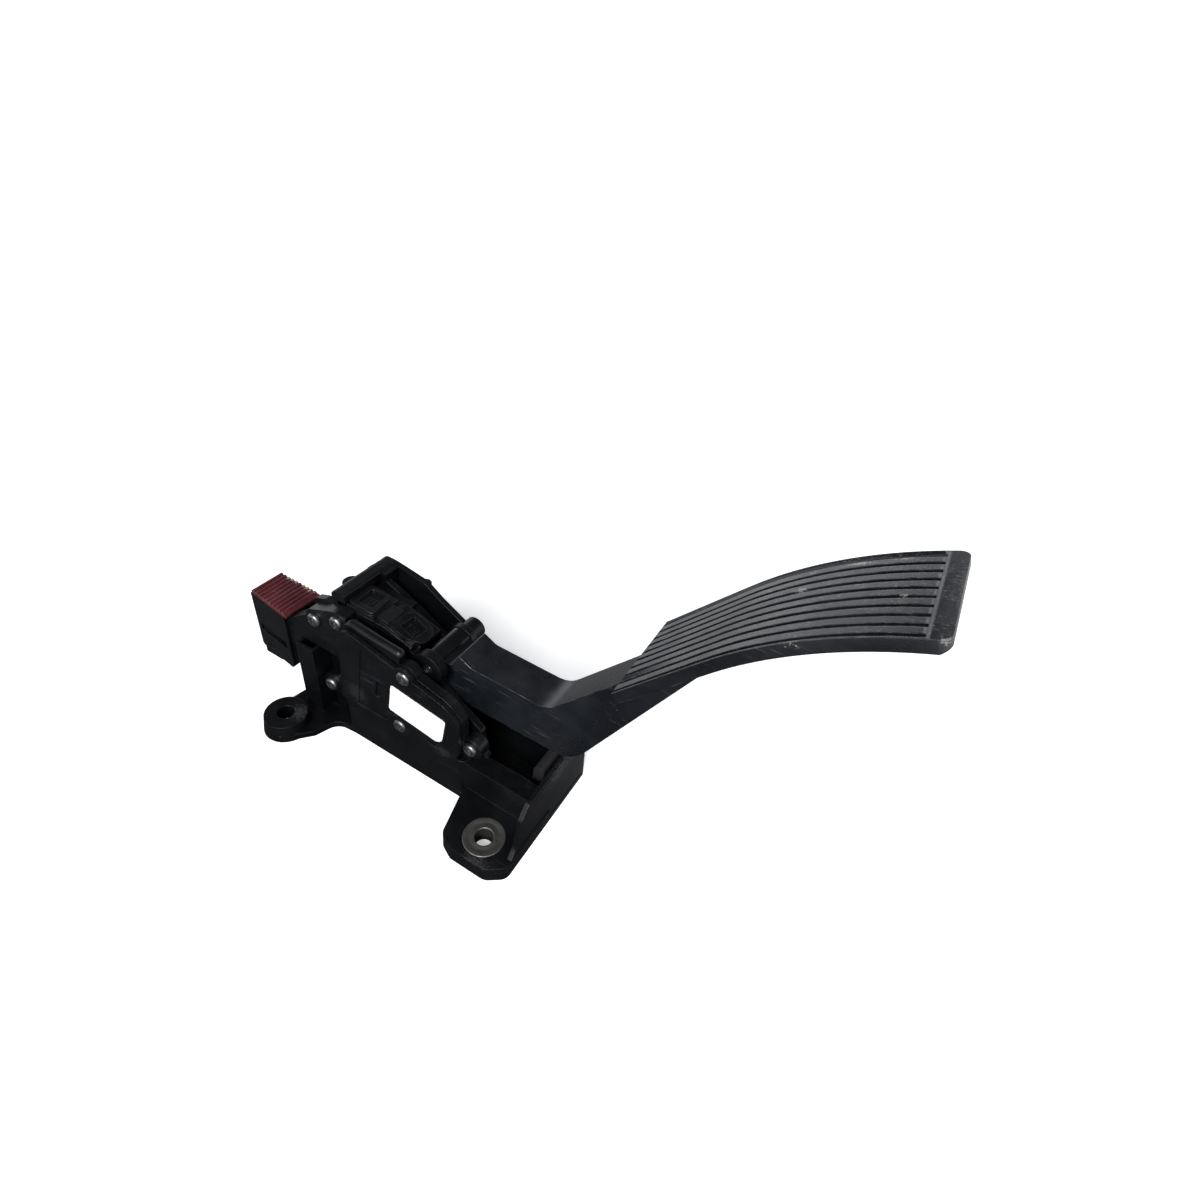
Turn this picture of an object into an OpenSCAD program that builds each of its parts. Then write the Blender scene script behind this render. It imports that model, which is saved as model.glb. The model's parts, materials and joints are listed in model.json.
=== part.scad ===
// Electronic accelerator pedal for a car: a flat-mounted plastic bracket with two
// bolt ears, the position sensor on its near side, the return springs under a lid
// on top, and a one-piece arm and grooved pad that turns on a steel pin.
// Millimetres. The mounting face is z = 0, and the origin is the axis of the
// front mounting hole. +X runs from the plug socket towards the pad, +Y runs
// along the pedal's pin away from the sensor cover, and +Z leaves the floor.

/* [Mounting] */
// Distance between the two mounting holes
hole_pitch = 130; // [126:1:136]
// Diameter of the two mounting holes, clearance for M8
hole_d = 9; // [6.6:0.1:10]
// Thickness of the two ears
ear_t = 10; // [8:0.5:13]
// Diameter of the round seat on each ear
seat_d = 20.6; // [18:0.2:22]
// Rim of plastic left around each seat
ear_rim = 2; // [1:0.1:3]
// Wall of the steel bush in the front ear
bush_wall = 1.7; // [1.2:0.1:2.5]
// Thickness of the steel bush's flange
bush_flange_t = 1.4; // [1:0.1:2]

/* [Bracket] */
// Distance from the mounting holes to the front face of the plinth
plinth_y = 16; // [15:0.5:18]
// Height of the plinth under the sensor
plinth_h = 30; // [28:0.5:33]
// Length of the plinth
plinth_l = 77; // [73:1:79]
// Thickness of the floor
floor_t = 4; // [3:0.5:6]
// Thickness of the walls beside the arm
wall_t = 3.5; // [3:0.1:4]
// Thickness of the outermost wall
far_wall_t = 3; // [2:0.1:4]
// Space between the inner and the outer far wall
far_gap = 5.5; // [4:0.5:8]
// Height of the bracket's end above the pin
bracket_up = 17; // [15.5:0.5:20]
// Distance from the front hole to the foot of the end wall
end_x = 18.4; // [17.4:0.2:21]
// Thickness of the end wall
end_wall_t = 2.4; // [2:0.1:4]
// How far the end wall leans inwards at its top
end_lean = 2.4; // [0:0.2:3.4]
// Height of the low walls around the pit under the arm
pit_h = 29; // [24:0.5:31]

/* [Pedal pin] */
// Distance from the front hole back to the pedal pin
pin_x = 53; // [51:0.5:56]
// Height of the pedal pin
pin_z = 71; // [69.5:0.5:74]
// Diameter of the pedal pin
pin_d = 7; // [5:0.1:7.6]
// Wall of the two bushes in the arm's hub
hub_bush_wall = 1.2; // [0.8:0.1:1.6]
// Wall of the arm's hub around the bushes
hub_wall = 2.4; // [1.8:0.1:2.8]
// Radial running clearance of the pin in its bushes
pin_fit = 0.05; // [0.02:0.01:0.1]
// Full pedal travel in degrees
travel = 15; // [8:0.5:15]

/* [Arm] */
// Distance from the mounting holes to the arm's near side
arm_y = 30; // [29.5:0.5:33]
// Width of the arm
arm_w = 19.5; // [17:0.5:22]
// Free space between the arm and the walls beside it
side_gap = 0.5; // [0.35:0.05:0.8]
// Height of the arm's level part above the pin
arm_up = 9.3; // [9:0.5:12]
// Depth of the arm's level part below the pin
arm_down = 16; // [14:0.5:17]
// Length of the arm's level part from the pin to its bend
arm_l = 62; // [60:0.5:64]
// Slope of the arm and pad after the bend
rise_a = 50.7; // [48:0.2:54]
// Length of the sloping part up to the pad
rise_l = 48; // [44:0.5:54]
// Slope of the arm's underside after the bend
under_a = 63; // [61:0.5:65]
// Radius under the bend
under_r = 17; // [12:0.5:20]
// Thickness of the arm's walls and ribs
rib_t = 2.4; // [1.8:0.1:3]

/* [Pad] */
// Width of the pad
pad_w = 50.7; // [49:0.5:56]
// How far the pad stands out beyond the arm's near side
pad_over = 8.7; // [6:0.1:12]
// Length of the pad's straight part
pad_straight = 46.4; // [43:0.2:52]
// Length of the pad's curved part
pad_curved = 76.8; // [66:0.2:84]
// Radius of the pad's curve
pad_r = 163; // [150:1:190]
// Thickness of the pad's plate
pad_t = 3; // [2.6:0.1:4]
// Depth of the skirt around the pad's edge
skirt_h = 5; // [4.6:0.1:6.4]
// Thickness of the skirt
skirt_t = 1.8; // [1.4:0.1:2.4]
// Height of the pad's face above the arm
pad_step = 1; // [0.6:0.1:1.6]
// Number of grooves in the pad
groove_n = 10; // [6:1:10]
// Distance between two grooves
groove_p = 5.1; // [4:0.1:5.2]
// Width of a groove
groove_w = 1.9; // [1:0.1:2.4]
// Depth of a groove
groove_h = 1.1; // [0.5:0.1:1.4]
// Smooth band left at the pad's tip
groove_end = 6.5; // [4:0.5:12]

/* [Sensor] */
// Depth of the sensor housing in front of the near wall
pot_t = 9.4; // [9:0.1:9.8]
// Thickness of the sensor cover
cover_t = 2.3; // [2:0.1:3]
// Thickness of the gasket under the cover
gasket_t = 0.5; // [0.3:0.1:0.8]
// Wall of the sensor housing
pot_wall = 2.2; // [1.6:0.1:2.6]
// Thickness of the circuit board
board_t = 1.6; // [1:0.1:2]
// Width of the label
label_w = 32.5; // [26:0.5:34]
// Height of the label
label_h = 19; // [12:0.2:20]

/* [Plug socket] */
// Length of the plug socket
socket_l = 28; // [24:0.5:34]
// Depth of the socket at its root, from its near side to its far side
socket_w = 22; // [21:0.5:26]
// Height of the socket
socket_h = 38; // [35:0.5:42]
// Wall of the socket
socket_wall = 2.2; // [1.8:0.1:2.8]
// How far the red lock slides
lock_travel = 4; // [2:0.5:5]
// Number of grip ribs on the red lock
lock_ribs = 10; // [6:1:10]

/* [Springs] */
// Mean diameter of the outer return spring's coil
spring_d = 15.2; // [14:0.2:16]
// Wire of the outer return spring
wire_d = 1.8; // [1.2:0.1:2]
// Coil turns of the outer return spring
spring_n = 6; // [5:0.5:7]
// Distance from the pin back to the springs' axis
spring_x = 37; // [35:0.5:38.5]
// Depth of the spring seat below the pin
seat_down = 19; // [18:0.5:20]
// Thickness of the friction liner where it is thinnest
liner_t = 3.2; // [2:0.1:4]

/* [Screws] */
// Diameter of the screw heads
head_d = 7.6; // [6.6:0.1:8.2]
// Height of the screw heads
head_h = 2.3; // [1.8:0.1:2.8]
// Diameter of the screw shanks
shank_d = 4; // [3:0.1:4.4]

/* [Hidden] */
fine = 64;
seam = 0.02;
px = -pin_x;
pz = pin_z;
pin_r = pin_d / 2;
bush_out = pin_r + pin_fit + hub_bush_wall;
hub_r = bush_out + hub_wall;
boss_r = hub_r + 1.3;
arm_far = arm_y + arm_w;
near_in = arm_y - side_gap;
near_out = near_in - wall_t;
ridge_in = arm_far + side_gap;
ridge_out = ridge_in + wall_t;
far_in = ridge_out + far_gap;
far_out = far_in + far_wall_t;
chamber_y = arm_y + arm_w / 2;
bore_r = hole_d / 2;
bush_r = bore_r + bush_wall;
ear_r = seat_d / 2 + ear_rim;

cup_t = 2;
cup_r = spring_d / 2 + wire_d / 2 + 0.7;
shoe_t = 3;
shoe_gap = 0.3;
shoe_r = spring_x + cup_r + 5.8;
left_in = px - shoe_r - shoe_gap - liner_t;
left_x = left_in - wall_t;
bracket_h = pz + bracket_up;
cap_t = 5;
lid_top = bracket_h - cap_t;
lid_t = 2.5;
lid_raise = 1.5;
frame_h = 1.5;
lid_under = lid_top - lid_raise - lid_t;
lid_bend = px - spring_x + cup_r + 0.6;
lid_fall = 0.26;
lid_lip = 1.4;
lid_y1 = near_in + 14;
lid_y2 = near_in + 15;
lid_x0 = left_x + 8.8;
seat_x = px - spring_x;
seat_z = pz - seat_down;
lever_t = 7.5;
rest_gap = 0.3;

plinth_x1 = px + 29;
plinth_x0 = plinth_x1 - plinth_l;
pot_y = near_out - pot_t;
cover_y = pot_y - gasket_t - cover_t;
ledge_y = pot_y + 3.4;
rim_y = pot_y + 4.9;
back_t = 2.5;
flange_y = near_out - 6.5;
tilt = -8;
shank_r = shank_d / 2;
counterbore = 1.2;

// Unit vector
function unit(v) = v / norm(v);

// Point at a distance and an angle from a centre
function polar(c, r, a) = c + r * [cos(a), sin(a)];

// Arc of points
function arc(c, r, a0, a1, n) = [for (i = [0:n]) polar(c, r, a0 + (a1 - a0) * i / n)];

// One corner of a path, rounded to radius r
function corner(a, b, c, r, n) =
    r <= 0 || abs(unit(a - b) * unit(c - b)) > 0.9998 ? [b] :
    let (u = unit(a - b), v = unit(c - b), h = acos(u * v) / 2,
         m = b + unit(u + v) * r / sin(h),
         s = b + u * r / tan(h), e = b + v * r / tan(h),
         a0 = atan2(s[1] - m[1], s[0] - m[0]),
         a1 = atan2(e[1] - m[1], e[0] - m[0]),
         d = (a1 - a0 + 540) % 360 - 180)
    arc(m, r, a0, a0 + d, n);

// Closed path with every corner rounded: p holds [x, y, radius]
function rounded(p, n = 6) =
    let (k = len(p), q = [for (v = p) [v[0], v[1]]])
    [for (i = [0:k - 1]) each corner(q[(i + k - 1) % k], q[i], q[(i + 1) % k], p[i][2], n)];

// Closed counter-clockwise path of [x, y, radius], moved inwards by w
function inset(p, w) =
    let (k = len(p), q = [for (v = p) [v[0], v[1]]])
    [for (i = [0:k - 1])
        let (u = unit(q[i] - q[(i + k - 1) % k]), v = unit(q[(i + 1) % k] - q[i]),
             nu = [-u[1], u[0]], nv = [-v[1], v[0]],
             bend = cross(u, v) > 0 ? -1 : 1,
             m = q[i] + (nu + nv) / (1 + nu * nv) * w)
        [m[0], m[1], max(p[i][2] + bend * w, 0.4)]];

// A profile in X and Z, drawn out along Y from y0 over t
module slab(y0, t) {
    translate([0, y0 + t, 0])
        rotate([90, 0, 0])
            linear_extrude(t)
                children();
}

// A round bar along Y at x, z
module bar(x, z, r, y0, y1) {
    translate([x, y1, z])
        rotate([90, 0, 0])
            cylinder(r = r, h = y1 - y0, $fn = fine);
}

// A block given by its two opposite corners
module block(a, b) {
    translate(a)
        cube(b - a);
}

// Ring sector about the pin's axis, between two radii and two angles
module sector(r0, r1, a0, a1, y0, t) {
    slab(y0, t)
        polygon(concat(arc([px, pz], r0, a0, a1, 16), arc([px, pz], r1, a1, a0, 16)));
}

// Height of the lid's underside at x
function lid_z(x) = lid_under - max(x - lid_bend, 0) * lid_fall;

// Screws, as [x, z] of each axis
cover_spots = [[px - 5, pz - 0.5], [px - 9.5, plinth_h + 3.5]];
lug_spot = [px + 29.8, plinth_h + 9];
top_spot = [left_x + 9, pz + 5];
side_spot = [left_x - 6.5, pz - 1.5];
low_spot = [left_x - 1.5, plinth_h - 3.3];
housing_spots = [lug_spot, top_spot, side_spot, low_spot];

// Where the arm's underside comes to at full travel
under_p = [px + arm_l + 15.7, pz - arm_down];
under_c = [under_p[0] - under_r * tan(under_a / 2) - px, under_r - arm_down];
low_x = px + under_c[0] * cos(travel) + under_c[1] * sin(travel);
low_z = pz - under_c[0] * sin(travel) + under_c[1] * cos(travel) - under_r;
stop_top = low_z - rest_gap;
stop_x = min(low_x, end_x - end_lean - end_wall_t) - 3.2;
stop_r = 3;
end_h = low_z - 1;

// Base bracket

near_wall_path = [
    [left_x - 8, 0, 0], [end_x - end_lean, 0, 0], [end_x - end_lean, pit_h, 0],
    [plinth_x1 + 4, pit_h, 3], [plinth_x1 + 2, pz - 25, 3], [px + 8, pz - 9, 4],
    [px + 4, pz + 6, 2], [px - 9, lid_z(px - 9), 0], [lid_bend, lid_under, 0],
    [left_x + 2, lid_under, 2], [left_x - 5, pz + 8, 4], [left_x - 13, pz + 5, 4],
    [left_x - 13, pz - 9, 3], [left_x - 8, 46, 3]];

ridge_path = [
    [left_x, 0, 0], [end_x - end_lean, 0, 0], [end_x - end_lean, pit_h, 0],
    [plinth_x1 + 4, pit_h, 3], [plinth_x1 + 2, pz - 25, 3], [px + 8, pz - 7, 4],
    [px - 11, pz - 5, 4], [px - 28.5, pz + 4.5, 8], [left_x + 16, lid_under + 3, 8],
    [left_x + 6, bracket_h - 2.4, 3], [left_x, bracket_h - 1.5, 0]];

far_path = [
    [left_x, 0, 0], [end_x - end_lean, 0, 0], [end_x - end_lean, pit_h, 0],
    [plinth_x1 + 4, pit_h, 3], [plinth_x1 + 2, pz - 25, 3], [px + 6, pz - 5, 4],
    [px - 6, pz, 3], [px - 21, pz + 8, 2], [px - 30, pz + 14, 2], [px - 44, pz + 16.2, 2],
    [left_x + 8, bracket_h, 2], [left_x, bracket_h, 3]];

deck_path = [
    [plinth_x1 - 2, near_in, 0], [plinth_x1 - 1, plinth_y + 1, 0], [-ear_r - 5.4, -9.4, 5],
    [-10, -ear_r - 0.8, 5], [10, -ear_r - 0.8, 7], [end_x, -7, 6], [end_x, near_in, 0]];

floor_path = [
    [6 - hole_pitch, -10.6, 0], [plinth_x0 - 12, 2.5, 5], [plinth_x0 - 8, plinth_y - 1, 8],
    [plinth_x0 + 4, plinth_y, 0], [plinth_x1, plinth_y, 0], [plinth_x1 + 10, near_in, 0],
    [end_x, near_in, 0], [end_x, far_out + 2, 4], [left_x, far_out + 2, 6],
    [-hole_pitch - 6, near_in + 8, 8], [-hole_pitch - 11, 5, 0]];

// The wall that closes the pit at its end, leaning inwards, with a raked near edge
module end_wall() {
    top = end_x - end_lean;
    ledge = 2;
    difference() {
        end_wall_solid(top);
        translate([end_x, 0, 0])
            rotate([90, 0, 0])
                translate([-end_lean * 0.9 - 0.5, end_h - ledge - 0.7, -far_out + 3])
                    linear_extrude(far_out - 17)
                        square([3, 0.7]);
    }
}

// The end wall before the groove near its top edge is cut
module end_wall_solid(top) {
    intersection() {
        slab(-12, far_out + 16)
            polygon([[end_x - end_wall_t, 0], [end_x, 0], [top, end_h], [top - end_wall_t, end_h]]);
        translate([end_x - 12, 0, 0])
            rotate([90, 0, 90])
                linear_extrude(14)
                    polygon(rounded([
                        [-4.5, 0, 0], [far_out + 2, 0, 0], [far_out + 2, 18, 2],
                        [far_out - 1, 24, 2], [far_out - 1, end_h, 2], [12, end_h, 4],
                        [5.5, end_h * 0.82, 5], [1, 14, 8], [-4, ear_t - 1, 2]]));
    }
}

// Low-walled pocket beside the plinth, open at its top
module side_pocket() {
    wall = 1.6;
    w = 11.5;
    x0 = left_x - 19;
    difference() {
        block([x0, plinth_y - 1, 0], [x0 + w, near_in, 50]);
        block([x0 + wall, plinth_y - 1 + wall, floor_t], [x0 + w - wall, near_in - wall, 51]);
    }
}

module plinth() {
    linear_extrude(plinth_h)
        polygon(rounded([
            [plinth_x0, plinth_y, 2], [plinth_x1, plinth_y, 4],
            [plinth_x1, near_in, 0], [plinth_x0, near_in, 0]]));
}

// Thick rim of the pit between the plinth and the end wall
module shelf() {
    block([plinth_x1 - 1, plinth_y + 1, 0], [end_x - end_lean, near_in, pit_h]);
}

// Pockets that core the plinth and the shelf from below
module underside_pockets() {
    wall = 2.6;
    bays = 5;
    step = (plinth_l - wall) / bays;
    for (i = [0:bays - 1])
        block([plinth_x0 + wall + i * step, plinth_y + wall, -1],
              [plinth_x0 + (i + 1) * step, near_out - 0.5, plinth_h - wall]);
    block([plinth_x1 + wall, plinth_y + 1 + wall, -1],
          [-6, near_out - 0.5, pit_h - wall]);
    block([-6 + wall, plinth_y + 1 + wall, -1],
          [end_x - end_lean - wall, near_out - 0.5, pit_h - wall]);
}

// Ribs that tie the two far walls together
module far_ribs() {
    rib = 2;
    for (x = [left_x + 12:12:plinth_x1 - 12])
        block([x, ridge_out - seam, 0], [x + rib, far_in + seam, pz - 6]);
    for (x = [plinth_x1:12:end_x - 10])
        block([x, ridge_out - seam, 0], [x + rib, far_in + seam, pit_h - 3]);
}

// Left end of the bracket: end wall of the spring chamber and the cap over it
module left_end() {
    block([left_x, near_out, 0], [left_in, far_out, lid_under]);
    slab(near_out, far_out - near_out)
        polygon(rounded([
            [left_x, lid_under - 6, 0], [left_in, lid_under - 6, 0], [left_in, lid_top, 0],
            [lid_x0 - 0.3, lid_top, 0], [lid_x0 - 0.3, bracket_h, 1], [left_x, bracket_h, 3]]));
    block([left_x + 8, ridge_in, lid_under], [left_x + 12, far_out, bracket_h - 0.6]);
    translate([left_x + 27, far_out, 0])
        cylinder(r = 3, h = pz + 12, $fn = fine);
    translate([left_x - 3.5, near_in + 13, 0])
        cylinder(r = 5, h = pz + 9, $fn = fine);
}

// Ledge that carries the far edge of the lid
module lid_ledge() {
    block([left_in - 1, ridge_in - 1.4, lid_under - 3], [lid_bend - 8, ridge_in + 1, lid_under]);
}

// Cross rib that carries a bumper of the given width under the arm
module bumper_rib(x, w, top) {
    block([x - w / 2, near_in - 1, 0], [x + w / 2, ridge_in + 1, top]);
}

// Bosses behind the near wall for the two screws beside the spring chamber
module screw_bosses() {
    for (s = [side_spot, low_spot])
        bar(s[0], s[1], shank_r + 2.6, near_out + 1, near_in + 4);
}

module base_solid() {
    linear_extrude(floor_t)
        polygon(rounded(floor_path, 6));
    linear_extrude(ear_t)
        polygon(rounded(deck_path, 6));
    translate([-hole_pitch, 0, 0])
        cylinder(r1 = ear_r, r2 = seat_d / 2 + 0.6, h = ear_t, $fn = fine);
    plinth();
    shelf();
    slab(near_out, wall_t)
        polygon(rounded(near_wall_path));
    slab(ridge_in, wall_t)
        polygon(rounded(ridge_path));
    slab(far_in, far_wall_t)
        polygon(rounded(far_path));
    bar(px, pz, boss_r, near_out - 1.5, near_in);
    bar(px, pz, boss_r - 1, ridge_in, ridge_out);
    bar(px, pz, pin_r + 2, ridge_out - seam, far_out);
    left_end();
    lid_ledge();
    far_ribs();
    side_pocket();
    end_wall();
    bumper_rib(stop_x, 2 * stop_r, stop_top - 3 * stop_r + 1);
    bumper_rib(seat_x, rest_w, rest_z - rest_t);
    screw_bosses();
}

module base_bracket() {
    color([0.10, 0.10, 0.11])
    difference() {
        base_solid();
        underside_pockets();
        block([plinth_x1 + 6, near_out + 0.8, floor_t],
              [end_x - end_lean - end_wall_t, near_in + seam, pit_h + 1]);
        bar(px, pz, pin_r + seam, near_out - 3, pin_y1);
        sector(window_r0, window_r1, window_a0, window_a1, near_out - 1, wall_t + 2);
        translate([-hole_pitch, 0, -1])
            cylinder(r = bore_r, h = ear_t + 2, $fn = fine);
        translate([0, 0, -1])
            cylinder(r = bush_r, h = ear_t + 2, $fn = fine);
        translate([0, 0, ear_t - bush_flange_t + bush_proud])
            cylinder(r = seat_d / 2, h = 5, $fn = fine);
        bar(cover_spots[1][0], cover_spots[1][1], head_d / 2 + 2.4, plinth_y - 1, rim_y + 0.2);
        for (s = housing_spots)
            bar(s[0], s[1], shank_r, near_out - 1, screw_y1 + 0.3);
    }
}

// Front bush: steel sleeve with a stepped flange

bush_proud = 0.4;

module front_bush() {
    top = ear_t + bush_proud;
    color([0.66, 0.66, 0.65])
    rotate_extrude($fn = fine)
        polygon([
            [bore_r, 0], [bush_r, 0], [bush_r, top - bush_flange_t],
            [seat_d / 2, top - bush_flange_t], [seat_d / 2, top - 0.5],
            [seat_d / 2 - 0.5, top], [bore_r + 3.8, top], [bore_r + 3.2, top - 0.4],
            [bore_r + 1.6, top - 0.4], [bore_r + 1.2, top], [bore_r + 0.4, top],
            [bore_r, top - 0.4]]);
}

// Lid over the spring chamber

module lid_slice(x1, t0, t1) {
    polygon([
        [lid_x0, lid_under + t0], [lid_bend, lid_under + t0], [x1, lid_z(x1) + t0],
        [x1, lid_z(x1) + t1], [lid_bend, lid_under + t1], [lid_x0, lid_under + t1]]);
}

// Raised frame on the lid, with a window in it
module lid_frame(path, hole) {
    translate([0, 0, lid_t - 0.4])
        linear_extrude(lid_raise + frame_h + 0.4)
            difference() {
                polygon(rounded(path, 8));
                polygon(rounded(hole, 4));
            }
}

// Three ribs of a catch, in a window
module catch_ribs(x, y, l) {
    pitch = 2.4;
    for (i = [0:2])
        block([x + i * pitch, y, 0], [x + (i + 0.5) * pitch, y + l, lid_t + lid_raise + 0.4]);
}

// Places a shape drawn from x = 0 on the sloping part of the lid
module on_slope() {
    translate([lid_bend, 0, lid_under])
        rotate([0, atan(lid_fall), 0])
            children();
}

module spring_cover() {
    lift = lid_t + lid_raise;
    color([0.12, 0.12, 0.13]) {
        slab(near_out, wall_t)
            lid_slice(px - 10.5, 0, lid_t);
        slab(near_in - seam, lid_y2 - near_in + seam)
            lid_slice(px - hub_r - 1, 0, lid_t);
        slab(lid_y2 - lid_lip, lid_lip)
            polygon([[lid_bend, lid_under + 1], [lid_bend, lid_under - 4],
                     [px - 15, lid_z(px - 15) - 4], [px - 15, lid_z(px - 15) + 1]]);
        block([lid_x0, lid_y2 - seam, lid_under], [lid_bend, ridge_in - 0.2, lid_under + lid_lip]);
        difference() {
            slab(near_out + 0.6, lid_y1 - near_out - 0.6)
                lid_slice(px - 10.5, lid_t - seam, lift);
            translate([lid_x0 + 17, near_out, lid_under + lid_t])
                cube([3.5, 20, 9]);
        }
        translate([0, 0, lid_under])
            lid_frame([[lid_x0, near_out + 2, 2], [lid_x0 + 16, near_out + 1, 2],
                       [lid_x0 + 14, lid_y1 - 1, 2], [lid_x0, lid_y1, 2]],
                      [[lid_x0 + 3.5, near_out + 4.5, 1], [lid_x0 + 12.5, near_out + 4.5, 1],
                       [lid_x0 + 12, lid_y1 - 2.5, 1], [lid_x0 + 3, lid_y1 - 2.5, 1]]);
        translate([0, 0, lid_under])
            catch_ribs(lid_x0 + 4.5, near_out + 3, 8);
        on_slope()
            lid_frame([[1.5, near_out + 1, 2], [lid_bend_l - 4, near_out + 0.6, 2],
                       [lid_bend_l + 4.5, near_in + 1.5, 5], [lid_bend_l + 2, lid_y1 - 3, 6],
                       [3, lid_y1 - 1, 5]],
                      [[5.5, near_out + 4.5, 1], [15, near_out + 3.5, 1],
                       [15.5, lid_y1 - 5.5, 1], [6.5, lid_y1 - 4, 1]]);
        on_slope()
            catch_ribs(7, near_out + 2, 7.5);
        translate([lid_bend - 5.5, near_out + 2, lid_under])
            cube([7.5, 11, lift + 0.4]);
    }
}
lid_bend_l = px - 10.5 - lid_bend;

// Sensor housing

// Outline of the sensor cover, narrowed by w
cover_back = 47.5;
cover_front = 27;
cover_up = 11.5;
cover_down = 6;
function cover_path(w) = rounded([
    [px - cover_back + w, plinth_h + w, 3 - min(w, 2)],
    [px + cover_front - w, plinth_h + w, 9 - w],
    [px + cover_front - w, pz - cover_down - w * 1.3, 15 - w],
    [px - cover_back + 4 + w, pz + cover_up - w * 1.3, 7 - min(w, 3)]], 8);

module cover_shape(w = 0) {
    polygon(cover_path(w));
    for (s = cover_spots)
        translate(s)
            circle(r = head_d / 2 + 2.2 - w, $fn = fine);
}

// Outline of the housing behind the cover, with its higher back edge
module rim_shape() {
    cover_shape(0);
    polygon(rounded([
        [px - cover_back, plinth_h, 3], [px - 20, plinth_h, 0], [px - 9, pz + 2, 2],
        [px - 9.5, pz + cover_up - 2.9, 3], [px - 44, pz + cover_up + 0.9, 6]], 8));
}

// Part of the housing that stands against the near wall
module back_shape(w = 0) {
    polygon(rounded(inset([
        [px - 46, plinth_h, 1], [px + 24, plinth_h, 6], [px + 22, pz - 21, 10],
        [px - 5, pz - 12, 4], [px - 12, pz - 2, 3], [px - 43, pz + 5, 5]], w)));
}

// Ears of the housing and the neck to the plug socket
module flange_shape() {
    r = head_d / 2 + 2.2;
    for (s = housing_spots)
        translate(s)
            circle(r = r, $fn = fine);
    polygon([
        low_spot + [0, r], low_spot + [-r + 0.5, 0], low_spot + [0, -r],
        [plinth_x0 - 0.3, low_spot[1] - r + 1.5], [plinth_x0 - 0.3, plinth_h],
        [px - 44, plinth_h], [px - 44, plinth_h + 14]]);
    polygon([
        [px - 44, 50.6], [px - 44, pz + 11], top_spot + [0, r], top_spot + [-3, r - 0.6],
        side_spot + [-2, r - 0.4], side_spot + [-r, 0], [socket_x1 + 2.4, socket_z1],
        [socket_x1 - 1, socket_z1], [socket_x1 - 1, socket_z0 + 2], [left_x - 19.4, 36],
        [left_x - 19.4, 50.6]]);
    translate([px + 20, plinth_h])
        square([9.8, 13]);
}

socket_x1 = left_x - 28;
socket_x0 = socket_x1 - socket_l;
socket_y0 = near_out - 8.4;
socket_y1 = socket_y0 + socket_w;
socket_z0 = 22;
socket_z1 = socket_z0 + socket_h;
socket_floor = 5;
socket_roof = 3.2;
socket_taper = 0.125;

// Near side of the socket at x, which draws in towards the mouth
function socket_y(x) = socket_y0 + (socket_x1 - x) * socket_taper;

// Part of the socket's outer form between two values of x and of z
module socket_prism(x0, x1, z0, z1) {
    translate([0, 0, z0])
        linear_extrude(z1 - z0)
            polygon([[x0, socket_y(x0)], [x1, socket_y(x1)], [x1, socket_y1], [x0, socket_y1]]);
}

module socket_shell() {
    difference() {
        union() {
            intersection() {
                socket_prism(socket_x0, socket_x1, socket_z0, socket_z1);
                slab(socket_y0 - 1, socket_w + 2)
                    polygon(rounded([
                        [socket_x0, socket_z0, 2], [socket_x1, socket_z0, 3],
                        [socket_x1, socket_z1, 0], [socket_x0, socket_z1, 1]]));
            }
            block([socket_x0 + 4, mouth_y - 1.4, socket_z0 - 2],
                  [socket_x0 + 16, mouth_y + 8, socket_z0 + 3]);
        }
        block([socket_x0 - 1, mouth_y + socket_wall, socket_z0 + socket_wall],
              [socket_x1 - socket_floor, socket_y1 - socket_wall, socket_z1 - socket_roof]);
        block([socket_x0 + 3, socket_y0 - 1, socket_z0 + 13],
              [socket_x1 - 3, mouth_y + 0.6, socket_z0 + 18]);
        lock_track(0);
        contact_holes(seam);
    }
}

// Undercut track in the socket's roof, and, with a clearance, the lock's foot in it
module lock_track(gap) {
    y = (mouth_y + socket_y1) / 2;
    x1 = socket_x1 - 2;
    block([socket_x0 - 1, y - 2 + gap, socket_z1 - 1.4],
          [x1, y + 2 - gap, socket_z1 + 1]);
    block([socket_x0 - 1, y - 3.5 + gap, socket_z1 - 2.4 + gap],
          [x1, y + 3.5 - gap, socket_z1 - 1.2 - gap]);
}
mouth_y = socket_y(socket_x0);

// Pockets for the pins through the socket's floor
module contact_holes(gap) {
    for (y = pin_rows)
        for (z = pin_levels)
            translate([socket_x1 - socket_floor - 11, y - 0.4 - gap, z - 0.4 - gap])
                cube([11 + 3.5, 0.8 + 2 * gap, 0.8 + 2 * gap]);
}
pin_rows = [for (i = [-1, 1]) (mouth_y + socket_y1) / 2 + i * 2.5];
pin_levels = [for (i = [-1:1]) (socket_z0 + socket_z1) / 2 + i * 6];

// Round-ended bead on the housing's top flank, from a to b in its x and z
module bead(a, b, y, r) {
    l = norm(b - a);
    translate([a[0], y, a[1]])
        rotate([0, 90 - atan2(b[1] - a[1], b[0] - a[0]), 0])
            rotate_extrude($fn = fine)
                polygon(concat([[0, -r], [0, l + r]], arc([0, l], r, 75, 0, 5), arc([0, 0], r, 0, -75, 5)));
}

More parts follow.
